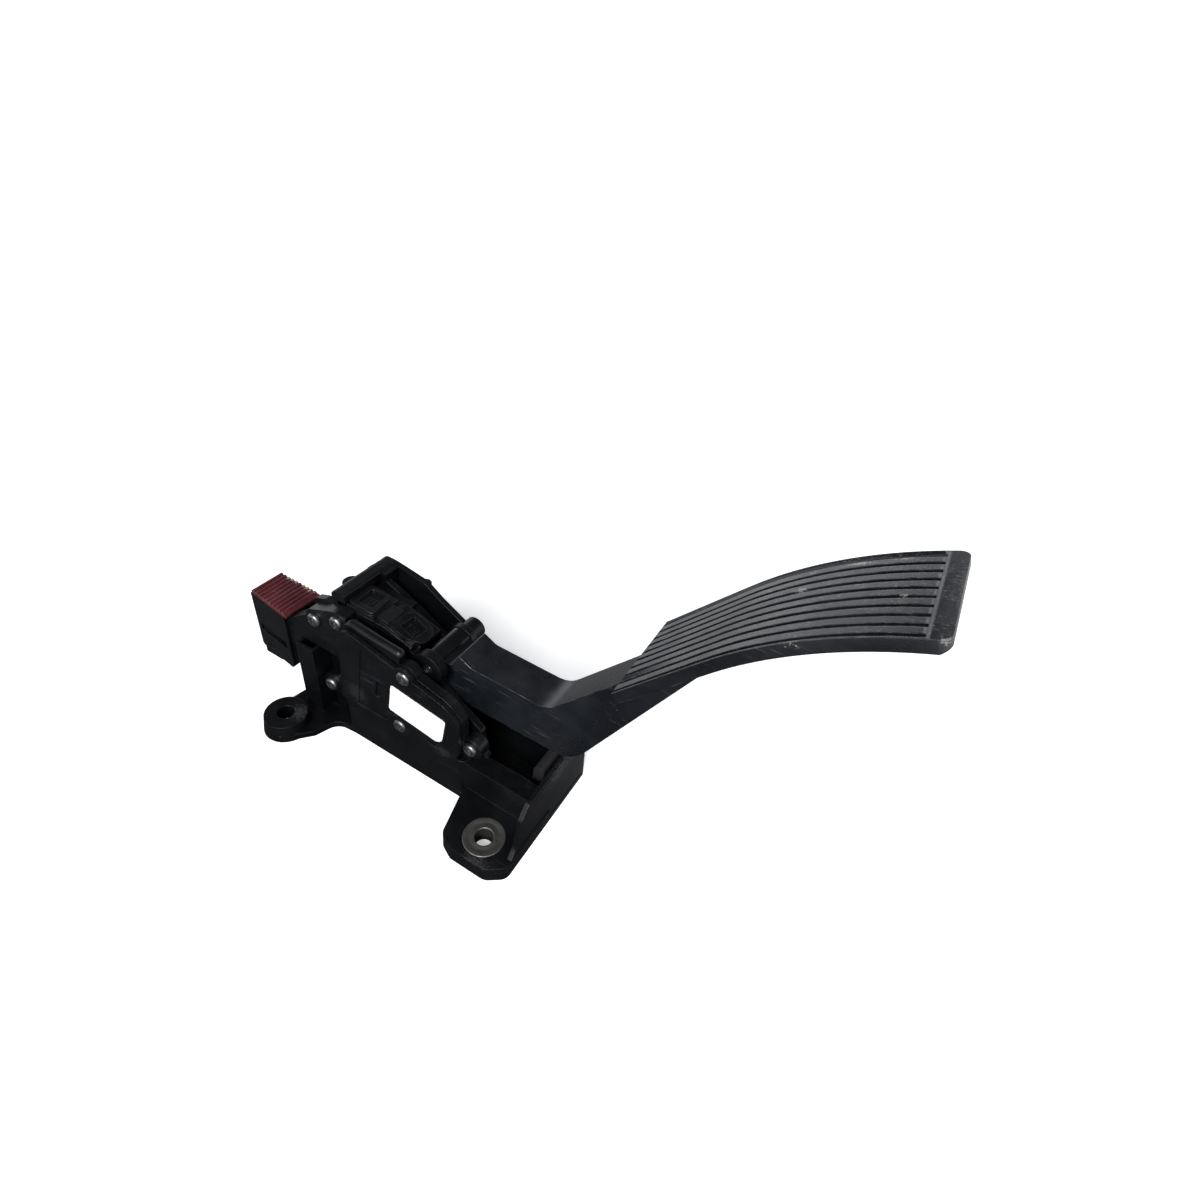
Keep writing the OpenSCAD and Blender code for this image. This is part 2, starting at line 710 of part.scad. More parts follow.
module sensor_housing() {
    color([0.13, 0.13, 0.14])
    difference() {
        union() {
            slab(pot_y, rim_y - pot_y)
                rim_shape();
            slab(rim_y - seam, near_out - rim_y + seam)
                back_shape();
            slab(flange_y, near_out - flange_y)
                flange_shape();
            socket_shell();
            bead([px - 39, pz + 10.2], [px - 11, pz + 8.2], pot_y + 2.4, 2.6);
            bead([px, pz - 2.6], [px + 17, pz - 6.6], pot_y + 3, 2.6);
        }
        difference() {
            slab(pot_y - 1, ledge_y - pot_y + 1)
                polygon(cover_path(pot_wall));
            for (s = cover_spots)
                bar(s[0], s[1], shank_r + 2.2, pot_y - 2, ledge_y + 1);
        }
        slab(pot_y, near_out - back_t - pot_y)
            back_shape(pot_wall);
        block([px - 60, pot_y - 8, plinth_h - 1], [px + 40, pot_y, pz + 30]);
        for (s = cover_spots)
            bar(s[0], s[1], shank_r, pot_y - 1, cover_screw_y1 + 0.3);
        for (s = housing_spots) {
            bar(s[0], s[1], shank_r + 0.2, pot_y - 1, near_out + 1);
            bar(s[0], s[1], head_d / 2 + 0.3, pot_y - 1, flange_y);
        }
        bar(px, pz, boss_r + 0.3, near_out - 1.8, near_out + 1);
    }
}

module cover_gasket() {
    color([0.05, 0.05, 0.05])
    slab(pot_y - gasket_t, gasket_t)
        difference() {
            cover_shape(0.5);
            polygon(cover_path(pot_wall - 0.3));
            for (s = cover_spots)
                translate(s)
                    circle(r = shank_r + 0.6, $fn = fine);
        }
}

// Step across the cover's face, and the oval recess in it
step_h = 0.5;
recess_h = 1.4;
recess_r = 2.2;
recess_ends = [[px - 20.8, pz - 15.8], [px - 22, pz - 23.6]];

// A rectangle on the cover's face, turned like the label
module tilted(c, w, h) {
    translate(c)
        rotate(tilt)
            square([w, h], center = true);
}

module sensor_cover() {
    color([0.15, 0.15, 0.16])
    difference() {
        slab(cover_y, cover_t)
            cover_shape(0);
        slab(cover_y - 1, 1 + step_h)
            polygon([[px - 36.5, plinth_h + 2], [px - 17.5, plinth_h + 2],
                     [px - 14, pz - 1], [px - 30.5, pz + 3]]);
        slab(cover_y - 1, 1 + recess_h)
            hull()
                for (s = recess_ends)
                    translate(s)
                        circle(r = recess_r, $fn = 32);
        slab(cover_y - 1, 2)
            tilted([px + 11.4, plinth_h + 4.8], 7, 1.4);
        for (s = cover_spots) {
            bar(s[0], s[1], head_d / 2 + 0.15, cover_y - 1, cover_y + counterbore);
            bar(s[0], s[1], shank_r + 0.25, cover_y, cover_y + cover_t + 1);
        }
    }
}

module label() {
    color([0.93, 0.93, 0.91])
    slab(cover_y - 0.2, 0.2)
        translate([px + 2, pz - 21])
            rotate(tilt)
                polygon(rounded([
                    [-label_w / 2, -label_h / 2, 1.5], [label_w / 2, -label_h / 2, 5],
                    [label_w / 2, label_h / 2, 1.5], [-label_w / 2, label_h / 2, 1.5]]));
}

// Screws

cover_screw_y1 = ledge_y + 0.8;
screw_y1 = near_in - 0.6;

// Pan-head screw at x, z with its head's seat at y0 and its tip at y1
module screw(s, y0, y1) {
    difference() {
        union() {
            bar(s[0], s[1], head_d / 2, y0 - head_h, y0);
            bar(s[0], s[1], shank_r, y0 - 1, y1);
        }
        translate([s[0], y0 - head_h + 1.3, s[1]])
            rotate([90, 0, 0])
                cylinder(r = head_d * 0.27, h = 3, $fn = 6);
    }
}

module cover_screws() {
    color([0.75, 0.75, 0.74])
    for (s = cover_spots)
        screw(s, cover_y + counterbore, cover_screw_y1);
}

module housing_screws() {
    color([0.75, 0.75, 0.74])
    for (s = housing_spots)
        screw(s, flange_y, screw_y1);
}

// Inside the sensor

board_y = ledge_y - board_t;

module circuit_board() {
    color([0.08, 0.30, 0.16])
    slab(board_y, board_t)
        difference() {
            polygon(cover_path(pot_wall + 0.5));
            for (s = cover_spots)
                translate(s)
                    circle(r = shank_r + 2.8, $fn = fine);
        }
}

// Flat coil on the back of the board, concentric with the pin
track_p = 2;
track_w = 1.2;
track_t = 0.4;

module sensing_coil() {
    color([0.75, 0.45, 0.20])
    intersection() {
        for (r = [window_r0 + 0.5:track_p:window_r1 - track_p])
            sector(r, r + track_w, window_a0 + 2, window_a1 - 2, ledge_y, track_t);
        slab(ledge_y - 1, track_t + 2)
            back_shape(pot_wall + 0.3);
    }
}

// Chips as [distance from the pin, height over the plinth, width, height]
chip_l = 6;
chip_t = 1;
chips = [[-34, 10, chip_l, chip_l], [-14, 20, chip_l * 1.3, chip_l * 1.3],
         [6, 12, chip_l * 0.7, chip_l * 0.8]];

module board_chips() {
    color([0.06, 0.06, 0.07])
    for (c = chips)
        block([px + c[0], board_y - chip_t, plinth_h + c[1]],
              [px + c[0] + c[2], board_y, plinth_h + c[1] + c[3]]);
}

module contact_pins() {
    color([0.80, 0.70, 0.35])
    contact_holes(0);
}

// Red lock of the plug socket, which slides along x

module connector_lock() {
    gap = 0.15;
    x0 = socket_x0 + 1.5;
    x1 = socket_x1 + 2;
    z0 = socket_z1 + gap;
    plate = 1.6;
    pitch = (x1 - x0 - 1.4) / lock_ribs;
    color([0.62, 0.16, 0.17]) {
        socket_prism(x0, x1, z0, z0 + plate);
        intersection() {
            block([x0, socket_y0, z0 - 5], [x1, socket_y1, z0 + seam]);
            lock_track(gap);
        }
        for (i = [0:lock_ribs - 1]) {
            x = x0 + 1.2 + i * pitch;
            bar(x, z0 + plate, rib_r, socket_y(x), socket_y1);
        }
    }
}
rib_r = 0.95;

// Pedal pin and the bushes that turn on it

pin_y0 = near_out + 0.9;
pin_y1 = far_out - 1.2;

module pivot_pin() {
    color([0.70, 0.70, 0.70])
    difference() {
        bar(px, pz, pin_r, pin_y0, pin_y1);
        bar(px, pz, pin_r * 0.4, pin_y0 - 1, pin_y0 + 2.5);
    }
}

module hub_bushes() {
    l = 6;
    color([0.55, 0.42, 0.22])
    for (y = [arm_y, arm_far - l])
        difference() {
            bar(px, pz, bush_out, y, y + l);
            bar(px, pz, pin_r + pin_fit, y - 1, y + l + 1);
        }
}

// Pedal arm and pad, one moulding

bend_p = [px + arm_l, pz + arm_up];
pad_p = polar(bend_p, rise_l, rise_a);
pad_q = polar(pad_p, pad_straight, rise_a);
pad_c = polar(pad_q, pad_r, rise_a - 90);
pad_turn = pad_curved / pad_r * 180 / PI;
pad_steps = 30;
pad_y = arm_y - pad_over;
pad_up = [-sin(rise_a), cos(rise_a)];

// Line along the pad at a depth under its face, from s before its start to a turned angle
function pad_line(depth, s, turn) =
    let (d = pad_step - depth)
    concat([pad_p - s * [cos(rise_a), sin(rise_a)] + pad_up * d],
           arc(pad_c, pad_r + d, rise_a + 90, rise_a + 90 - turn, pad_steps));

function reversed(p) = [for (i = [len(p) - 1:-1:0]) p[i]];

// Band of the pad between two depths under its face
function pad_band(d0, d1, s, turn) =
    concat(pad_line(d0, s, turn), reversed(pad_line(d1, s, turn)));

arm_path = [
    [px - 3, pz + 2, 0], [px - 6, pz - 2, 0], [seat_x + cup_r + 1.5, seat_z, 4],
    [px - shoe_r - 4, seat_z, 0], [px - shoe_r - 4, seat_z - lever_t, 0],
    [px - 24, seat_z - lever_t, 8], [px - 6, pz - arm_down, 8],
    [under_p[0], under_p[1], under_r],
    [under_p[0] + 150 * cos(under_a), under_p[1] + 150 * sin(under_a), 0],
    [bend_p[0] + 150 * cos(rise_a), bend_p[1] + 150 * sin(rise_a), 0],
    [bend_p[0], bend_p[1], 13], [px + 21, pz + arm_up, 6], [px + 14, pz + 13, 1.2],
    [px + 10.5, pz + 5, 2]];

// Side view of the arm without its pad, narrowed by w and cut off at a depth under the pad
module arm_profile(w, depth) {
    far = pad_c + [20, pad_r + 60];
    difference() {
        intersection() {
            polygon(rounded(w > 0 ? inset(arm_path, w) : arm_path, 8));
            union() {
                translate([px, pz])
                    circle(r = shoe_r - shoe_t - w, $fn = fine);
                translate([px, 0])
                    square(400);
            }
        }
        polygon(concat(pad_line(depth, -1, pad_turn), [far, [pad_p[0] - 90, far[1]],
                       pad_p + 90 * pad_up, pad_p + [cos(rise_a), sin(rise_a)] + 60 * pad_up]));
    }
}

// Side view of the pockets that core the arm from its far side, between zigzag ribs
module arm_pockets() {
    difference() {
        arm_profile(rib_t, pad_t + rib_t);
        translate([px, pz])
            circle(r = hub_r + 0.4, $fn = fine);
        zigzag();
    }
}

module zigzag() {
    bay = 15;
    n = 7;
    w = rib_t * 0.8;
    for (i = [0:n - 1])
        translate([px + 12 + i * bay / 2, pz + (i % 2 == 0 ? -arm_down : arm_up + 4)])
            rotate(i % 2 == 0 ? 62 : -62)
                translate([0, -1])
                    square([arm_down + arm_up + 16, w]);
    for (i = [0:4])
        translate(bend_p + i * 11 * [cos(rise_a), sin(rise_a)])
            rotate(i % 2 == 0 ? rise_a - 55 : rise_a - 125)
                translate([-6, -1])
                    square([46, w]);
}

module pad_plate() {
    difference() {
        intersection() {
            slab(pad_y, pad_w)
                polygon(concat([pad_line(pad_bevel, 0, 0)[0]], pad_line(0, -pad_bevel, pad_turn),
                               reversed(pad_line(skirt_h, 0, pad_turn))));
            pad_outline();
        }
        difference() {
            slab(pad_y + skirt_t, pad_w - 2 * skirt_t)
                polygon(pad_band(pad_t, skirt_h + 1, -skirt_t, pad_turn - skirt_turn));
            pad_ribs();
            slab(arm_y, arm_w)
                polygon(pad_band(0, skirt_h + 2, 1, pad_turn));
        }
        grooves();
    }
}
skirt_turn = skirt_t / pad_r * 180 / PI;
pad_bevel = 1.5;

// The pad's outline seen square to its start, with rounded corners
module pad_outline() {
    l = pad_straight + pad_curved;
    translate([pad_p[0], 0, pad_p[1]])
        rotate([0, 90 - rise_a, 0])
            rotate([90, 0, 90])
                translate([0, 0, -60])
                    linear_extrude(80)
                        polygon(rounded([[pad_y, -1, 3], [pad_y + pad_w, -1, 3],
                                         [pad_y + pad_w, l, 4], [pad_y, l, 4]], 6));
}

// Cross ribs under the pad's plate, square to its face
module pad_ribs() {
    for (a = [3:6.5:pad_turn - 3])
        translate([pad_c[0], pad_y, pad_c[1]])
            rotate([0, a - rise_a, 0])
                translate([-0.8, 0, pad_r - 15])
                    cube([1.6, pad_w, 20]);
    for (s = [8:13:pad_straight])
        translate([pad_p[0] + s * cos(rise_a), pad_y, pad_p[1] + s * sin(rise_a)])
            rotate([0, -rise_a, 0])
                translate([0, 0, -15])
                    cube([1.6, pad_w, 20]);
}

// Grooves along the pad, each with round ends
module grooves() {
    turn = pad_turn - groove_end / pad_r * 180 / PI;
    y0 = pad_y + (pad_w - (groove_n - 1) * groove_p) / 2 - 0.9;
    for (i = [0:groove_n - 1])
        slab(y0 + i * groove_p - groove_w / 2, groove_w)
            polygon(pad_band(-1, groove_h, -1.5, turn));
}

module pedal_arm() {
    color([0.17, 0.18, 0.20]) {
        difference() {
            union() {
                slab(arm_y, arm_w)
                    arm_profile(0, pad_t * 0.8);
                bar(px, pz, hub_r, arm_y, arm_far);
            }
            slab(arm_y + rib_t, arm_w)
                arm_pockets();
            bar(px, pz, pin_r + pin_fit + 0.15, arm_y - 1, arm_far + 1);
            for (y = [arm_y - 1, arm_far - 6])
                bar(px, pz, bush_out, y, y + 7);
        }
        pad_plate();
    }
}

// Sensor target, carried by the arm in the near wall's window

window_r0 = 14.5;
window_r1 = 25.5;
window_a0 = 196;
window_span = 54;
window_a1 = window_a0 + window_span;
target_gap = 1;

module target_carrier() {
    color([0.20, 0.20, 0.21])
    sector(window_r0 + target_gap, window_r1 - target_gap, window_a0 + travel + 4,
           window_a1 - 4, near_out + 1.6, arm_y - near_out - 1.6);
}

module target_plate() {
    color([0.70, 0.70, 0.68])
    sector(window_r0 + target_gap + 1, window_r1 - target_gap - 1, window_a0 + travel + 6,
           window_a1 - 6, near_out + 0.6, 1);
}

// Springs and what they press on

module spring_cup() {
    color([0.75, 0.73, 0.66])
    translate([seat_x, chamber_y, seat_z]) {
        cylinder(r = cup_r, h = cup_t, $fn = fine);
        cylinder(r = 2, h = cup_t + 3, $fn = fine);
    }
}

// Height of a coil's centre line after so many turns, closed and flat at both ends
function coil_z(u, n, w, h) =
    let (p = (h - 3 * w) / (n - 2))
    w / 2 + (u < 1 ? u * w : u > n - 1 ? h - w - (n - u) * w : w + (u - 1) * p);

// Compression spring of n turns standing on the seat
module coil(r, w, n, h) {
    sides = 8;
    per_turn = 14;
    m = round(n * per_turn);
    points = [for (i = [0:m]) for (j = [0:sides - 1])
        let (u = i / per_turn, a = 360 * u, b = 360 * j / sides,
             d = r + w / 2 * cos(b))
        [d * cos(a), d * sin(a), coil_z(u, m / per_turn, w, h) + w / 2 * sin(b)]];
    sides_list = [for (i = [0:m - 1]) for (j = [0:sides - 1])
        let (k = (j + 1) % sides)
        [i * sides + j, i * sides + k, (i + 1) * sides + k, (i + 1) * sides + j]];
    caps = [[for (j = [sides - 1:-1:0]) j], [for (j = [0:sides - 1]) m * sides + j]];
    translate([seat_x, chamber_y, seat_z + cup_t])
        polyhedron(points, concat(sides_list, caps), convexity = 8);
}
spring_h = lid_under - seat_z - cup_t;

module return_spring_outer() {
    color([0.62, 0.63, 0.65])
    coil(spring_d / 2, wire_d, spring_n, spring_h);
}

module return_spring_inner() {
    color([0.62, 0.63, 0.65])
    coil(spring_d / 2 - wire_d / 2 - 2, wire_d * 0.66, spring_n + 2, spring_h);
}

// Shoe on the lever's end, which rubs on the liner and gives the pedal its drag
module friction_shoe() {
    color([0.70, 0.66, 0.55])
    sector(shoe_r - shoe_t, shoe_r, shoe_a0, shoe_a1, arm_y + 1, arm_w - 2);
}
shoe_a0 = 180 + asin((pz - seat_z) / (shoe_r - shoe_t)) + 0.8;
shoe_a1 = 180 + asin((pz - seat_z + lever_t) / (shoe_r - shoe_t)) - 0.8;

module friction_liner() {
    a0 = 176;
    a1 = shoe_a1 + 4;
    r = shoe_r + shoe_gap;
    color([0.45, 0.44, 0.42])
    slab(near_in + 0.1, ridge_in - near_in - 0.2)
        polygon(concat(arc([px, pz], r, a0, a1, 20),
                       [[left_in, pz + r * sin(a1)], [left_in, pz + r * sin(a0)]]));
}

// Bumpers that end the pedal's travel

rest_w = 8;
rest_t = 3;
rest_z = seat_z - lever_t - rest_gap;

module stop_bumper() {
    color([0.22, 0.22, 0.23])
    slab(near_in + 0.6, ridge_in - near_in - 1.2)
        polygon(concat([[stop_x - stop_r, stop_top - 3 * stop_r + 1],
                        [stop_x + stop_r, stop_top - 3 * stop_r + 1]],
                       arc([stop_x, stop_top - stop_r], stop_r, 0, 180, 16)));
}

module rest_bumper() {
    color([0.07, 0.07, 0.07])
    block([seat_x - rest_w / 2, near_in + 1, rest_z - rest_t],
          [seat_x + rest_w / 2, ridge_in - 1, rest_z]);
}

base_bracket();
front_bush();
spring_cover();
sensor_housing();
cover_gasket();
sensor_cover();
cover_screws();
housing_screws();
label();
circuit_board();
sensing_coil();
board_chips();
contact_pins();
connector_lock();
pivot_pin();
pedal_arm();
hub_bushes();
target_carrier();
target_plate();
spring_cup();
return_spring_outer();
return_spring_inner();
friction_shoe();
friction_liner();
stop_bumper();
rest_bumper();
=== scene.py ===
"""Electronic accelerator pedal: finishes, small turned and moulded parts, stage and camera.

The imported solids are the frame. Lengths are in metres, +X runs from the plug socket
towards the pad, +Y runs along the pedal's pin, and +Z leaves the mounting face.
"""
import json
import math

import bmesh
import bpy
from bpy.props import FloatProperty, FloatVectorProperty, IntProperty, PointerProperty
from mathutils import Matrix, Vector


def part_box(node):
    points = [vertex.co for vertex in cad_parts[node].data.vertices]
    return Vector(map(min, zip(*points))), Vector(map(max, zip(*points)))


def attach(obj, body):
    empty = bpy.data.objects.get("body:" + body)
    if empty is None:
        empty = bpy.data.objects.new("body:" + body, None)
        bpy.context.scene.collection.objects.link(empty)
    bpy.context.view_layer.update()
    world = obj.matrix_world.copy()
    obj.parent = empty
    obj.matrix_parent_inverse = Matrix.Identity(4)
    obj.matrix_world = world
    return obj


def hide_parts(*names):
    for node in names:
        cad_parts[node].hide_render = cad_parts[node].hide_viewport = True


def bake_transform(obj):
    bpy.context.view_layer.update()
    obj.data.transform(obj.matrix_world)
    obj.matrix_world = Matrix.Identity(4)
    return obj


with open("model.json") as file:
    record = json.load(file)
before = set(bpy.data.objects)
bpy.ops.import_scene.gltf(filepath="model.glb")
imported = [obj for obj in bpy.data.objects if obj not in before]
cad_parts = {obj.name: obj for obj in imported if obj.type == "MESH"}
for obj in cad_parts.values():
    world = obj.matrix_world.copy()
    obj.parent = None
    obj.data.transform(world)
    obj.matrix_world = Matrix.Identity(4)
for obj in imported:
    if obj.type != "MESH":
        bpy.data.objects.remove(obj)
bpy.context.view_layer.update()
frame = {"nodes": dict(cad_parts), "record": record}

bl_info = {
    "name": "Accelerator pedal finishes",
    "version": (1, 0, 0),
    "blender": (4, 5, 0),
    "location": "View3D > Sidebar > Pedal",
    "description": "Finishes, small parts, stage and camera of a car accelerator pedal",
    "category": "Object",
}

NODES = frame["nodes"]


# Sizes and colours

class PlasticFinish(bpy.types.PropertyGroup):
    bracket_colour: FloatVectorProperty(
        name="Bracket", description="Colour of the bracket and its lid",
        subtype="COLOR", size=3, default=(0.0016, 0.0019, 0.0027))
    housing_colour: FloatVectorProperty(
        name="Sensor housing", description="Colour of the sensor's housing and cover",
        subtype="COLOR", size=3, default=(0.0018, 0.0022, 0.0030))
    arm_colour: FloatVectorProperty(
        name="Arm and pad", description="Colour of the pedal's arm and pad",
        subtype="COLOR", size=3, default=(0.0032, 0.0045, 0.0068))
    lock_colour: FloatVectorProperty(
        name="Lock", description="Colour of the plug socket's lock",
        subtype="COLOR", size=3, default=(0.070, 0.0058, 0.0090))
    # Pale edge colour: both wear and painted highlight along the edges
    edge_wear_and_highlight_colour: FloatVectorProperty(
        name="Rubbed plastic", description="Colour of edges that wear has made pale",
        subtype="COLOR", size=3, default=(0.085, 0.088, 0.092))
    dust_colour: FloatVectorProperty(
        name="Dust", description="Colour of the dust in the grain",
        subtype="COLOR", size=3, default=(0.07, 0.068, 0.063))
    grain: FloatProperty(
        name="Grain", description="Size of the moulded grain",
        unit="LENGTH", default=0.00035, min=0.0001, max=0.002)
    edge_radius: FloatProperty(
        name="Edge radius", description="Rounding that the mould leaves on each edge",
        unit="LENGTH", default=0.0005, min=0.0, max=0.002)
    roughness: FloatProperty(
        name="Roughness", description="How dull the plastic is",
        subtype="FACTOR", default=0.38, min=0.0, max=1.0)


class MetalFinish(bpy.types.PropertyGroup):
    bush_colour: FloatVectorProperty(
        name="Bush", description="Colour of the turned steel bush",
        subtype="COLOR", size=3, default=(0.18, 0.177, 0.168))
    zinc_colour: FloatVectorProperty(
        name="Screws", description="Colour of the zinc plated screws",
        subtype="COLOR", size=3, default=(0.27, 0.27, 0.265))
    spring_colour: FloatVectorProperty(
        name="Springs", description="Colour of the drawn spring wire",
        subtype="COLOR", size=3, default=(0.30, 0.31, 0.33))
    spring_wire: FloatProperty(
        name="Spring wire", description="Length at a spring's ends that doesn't give",
        unit="LENGTH", default=0.002)
    pin_colour: FloatVectorProperty(
        name="Pin", description="Colour of the ground pedal pin",
        subtype="COLOR", size=3, default=(0.55, 0.55, 0.55))


class ScrewSize(bpy.types.PropertyGroup):
    head_height: FloatProperty(
        name="Head height", description="Height of the pan head",
        unit="LENGTH", default=0.0023)
    recess_radius: FloatProperty(
        name="Recess radius", description="Mean radius of the six-lobed recess",
        unit="LENGTH", default=0.00165)
    recess_depth: FloatProperty(
        name="Recess depth", description="Depth of the six-lobed recess",
        unit="LENGTH", default=0.0014)
    shank_radius: FloatProperty(
        name="Shank radius", description="Outer radius of the thread",
        unit="LENGTH", default=0.002)
    thread_pitch: FloatProperty(
        name="Thread pitch", description="Distance between two crests of the thread",
        unit="LENGTH", default=0.0011)
    steps: IntProperty(
        name="Steps", description="Facets round the screw",
        default=48, min=12, max=96)


class BushSize(bpy.types.PropertyGroup):
    bore: FloatProperty(
        name="Bore", description="Radius of the front mounting hole",
        unit="LENGTH", default=frame["record"]["mounts"][0]["dims"]["r_mm"] / 1000.0)
    flange_height: FloatProperty(
        name="Flange height", description="Thickness of the flange",
        unit="LENGTH", default=0.0014)
    wall: FloatProperty(
        name="Wall", description="Wall of the sleeve",
        unit="LENGTH", default=0.0017)
    groove: FloatProperty(
        name="Groove", description="Depth of the turned step in the flange's face",
        unit="LENGTH", default=0.00014)
    steps: IntProperty(
        name="Steps", description="Facets round the bush",
        default=96, min=24, max=192)


class PadSize(bpy.types.PropertyGroup):
    corner: FloatProperty(
        name="Corner", description="Radius of the pad's two corners at its tip",
        unit="LENGTH", default=0.0036)
    rim: FloatProperty(
        name="Rim", description="Rolled rim of the pad's face at its tip and far side",
        unit="LENGTH", default=0.0013)
    near_rim: FloatProperty(
        name="Near rim", description="Rolled rim beside the first groove",
        unit="LENGTH", default=0.00045)


class StudioSetup(bpy.types.PropertyGroup):
    place: FloatVectorProperty(
        name="Camera place", description="Where the camera stands",
        subtype="TRANSLATION", unit="LENGTH", size=3, default=(0.0984, -0.143, 0.310))
    azimuth: FloatProperty(
        name="Azimuth", description="Turn of the camera round the vertical",
        subtype="ANGLE", default=math.radians(23.0))
    elevation: FloatProperty(
        name="Elevation", description="How steeply the camera looks down",
        subtype="ANGLE", default=math.radians(40.0))
    roll: FloatProperty(
        name="Roll", description="Tilt of the camera about its own axis",
        subtype="ANGLE", default=math.radians(10.0))
    lens: FloatProperty(
        name="Lens", description="Focal length on a 36 mm wide sensor, in millimetres",
        default=20.4, min=10.0, max=200.0)
    key_power: FloatProperty(
        name="Key light", description="Strength of the broad light from the front",
        default=4.2, min=0.0)
    key_spread: FloatProperty(
        name="Key spread", description="How broad the light from the front is",
        subtype="ANGLE", default=math.radians(30.0))
    key_way: FloatVectorProperty(
        name="Key direction", description="Direction towards the light",
        subtype="DIRECTION", size=3, default=(0.20, -0.72, 0.66))
    floor_colour: FloatVectorProperty(
        name="Floor", description="Colour of the studio floor",
        subtype="COLOR", size=3, default=(0.92, 0.92, 0.92))
    floor_mirrored: FloatVectorProperty(
        name="Floor in reflections", description="Colour that glossy faces see under the part",
        subtype="COLOR", size=3, default=(0.045, 0.045, 0.048))
    floor_behind: FloatVectorProperty(
        name="Floor behind", description="Colour that glossy faces see behind the part",
        subtype="COLOR", size=3, default=(0.22, 0.22, 0.225))
    floor_glow: FloatProperty(
        name="Floor glow", description="Light that the floor adds where the camera sees it",
        default=0.42, min=0.0)
    horizon_colour: FloatVectorProperty(
        name="Surround", description="Colour of the surround at the horizon",
        subtype="COLOR", size=3, default=(1.13, 1.17, 1.24))
    dome_colour: FloatVectorProperty(
        name="Dome", description="Colour of the surround overhead",
        subtype="COLOR", size=3, default=(0.07, 0.073, 0.08))


GROUPS = (PlasticFinish, MetalFinish, ScrewSize, BushSize, PadSize, StudioSetup)

# Directions that leave an axis along Y or along Z
ACROSS_Y, ACROSS_Z = (1.0, 0.0, 1.0), (1.0, 1.0, 0.0)
# Y and distance between which the floor in reflections changes its colour
MIRROR_TURNS, MIRROR_PALES = (0.0, 0.1), (0.3, 0.9)
# Upward share of a direction between which the surround becomes the dome
DOME_STARTS = (0.22, 0.53)

# Rubbed places: centre, reach along each axis, grit and strength
BRACKET_SCUFFS = (
    ((0.018, 0.040, 0.034), (0.006, 0.030, 0.014), 900.0, 0.30),
    ((-0.124, 0.004, 0.0105), (0.012, 0.010, 0.004), 900.0, 0.25),
    ((0.004, -0.012, 0.0105), (0.014, 0.008, 0.004), 1100.0, 0.25))
COVER_SCUFFS = (
    ((-0.090, 0.0138, 0.040), (0.012, 0.004, 0.012), 1400.0, 0.12),
    ((-0.036, 0.0138, 0.034), (0.010, 0.004, 0.006), 1400.0, 0.12))
PAD_SCUFFS = (
    ((0.1005, 0.0668, 0.1845), (0.0110, 0.0022, 0.0070), 900.0, 0.75),
    ((0.1120, 0.0675, 0.1915), (0.0070, 0.0018, 0.0040), 900.0, 0.65),
    ((0.0865, 0.0547, 0.1735), (0.0045, 0.0022, 0.0040), 1100.0, 0.65),
    ((0.0877, 0.0659, 0.1745), (0.0030, 0.0016, 0.0030), 1300.0, 0.60),
    ((0.0915, 0.0222, 0.1775), (0.0080, 0.0016, 0.0060), 900.0, 0.85),
    ((0.1153, 0.0441, 0.1935), (0.0024, 0.0010, 0.0020), 1800.0, 0.55),
    ((0.1285, 0.0220, 0.1992), (0.0045, 0.0020, 0.0030), 1500.0, 0.40),
    ((0.1290, 0.0460, 0.1998), (0.0020, 0.0260, 0.0016), 1500.0, 0.20),
    ((0.0450, 0.0222, 0.1270), (0.0120, 0.0014, 0.0120), 1300.0, 0.15),
    ((0.0406, 0.0298, 0.1022), (0.0006, 0.0006, 0.0006), 2600.0, 0.80))


# Node trees

def add_node(tree, kind, values=None, **settings):
    """Adds a node, sets its settings, and fills its inputs with values or links."""
    node = tree.nodes.new(kind)
    for key, value in settings.items():
        setattr(node, key, value)
    for key, value in (values or {}).items():
        socket = node.inputs[key]
        if isinstance(value, bpy.types.NodeSocket):
            tree.links.new(value, socket)
        else:
            socket.default_value = value
    return node


def shader_group(name, inputs, outputs):
    """Starts a shader node group with named sockets; an input is (name, kind, default)."""
    tree = bpy.data.node_groups.new(name, "ShaderNodeTree")
    for label, kind, default in inputs:
        socket = tree.interface.new_socket(label, in_out="INPUT", socket_type=kind)
        socket.default_value = default
    for label, kind in outputs:
        tree.interface.new_socket(label, in_out="OUTPUT", socket_type=kind)
    return tree, add_node(tree, "NodeGroupInput"), add_node(tree, "NodeGroupOutput")


def math_node(tree, operation, first, second=0.0, clamp=False):
    """One step of arithmetic on two values or links."""
    return add_node(tree, "ShaderNodeMath", {0: first, 1: second},
                    operation=operation, use_clamp=clamp).outputs[0]


def times(tree, first, second, clamp=False):
    """The product of two values or links."""
    return math_node(tree, "MULTIPLY", first, second, clamp)


def vector_node(tree, operation, *values):
    """One step of vector arithmetic, which gives a vector or, for some steps, a value."""
    node = add_node(tree, "ShaderNodeVectorMath", dict(enumerate(values)), operation=operation)
    return node.outputs["Value" if operation in ("LENGTH", "DOT_PRODUCT") else "Vector"]


def noise(tree, place, scale, detail, roughness=0.5):
    """Cloudy noise, from zero to one."""
    return add_node(tree, "ShaderNodeTexNoise",
                    {"Vector": place, "Scale": scale, "Detail": detail,
                     "Roughness": roughness}).outputs[0]


def drawn_out(tree, place, scale, turn=(0.0, 0.0, 0.0)):
    """Coordinates turned and scaled, so that what is drawn from them runs one way."""
    return add_node(tree, "ShaderNodeMapping",
                    {"Vector": place, "Rotation": turn, "Scale": scale}).outputs[0]


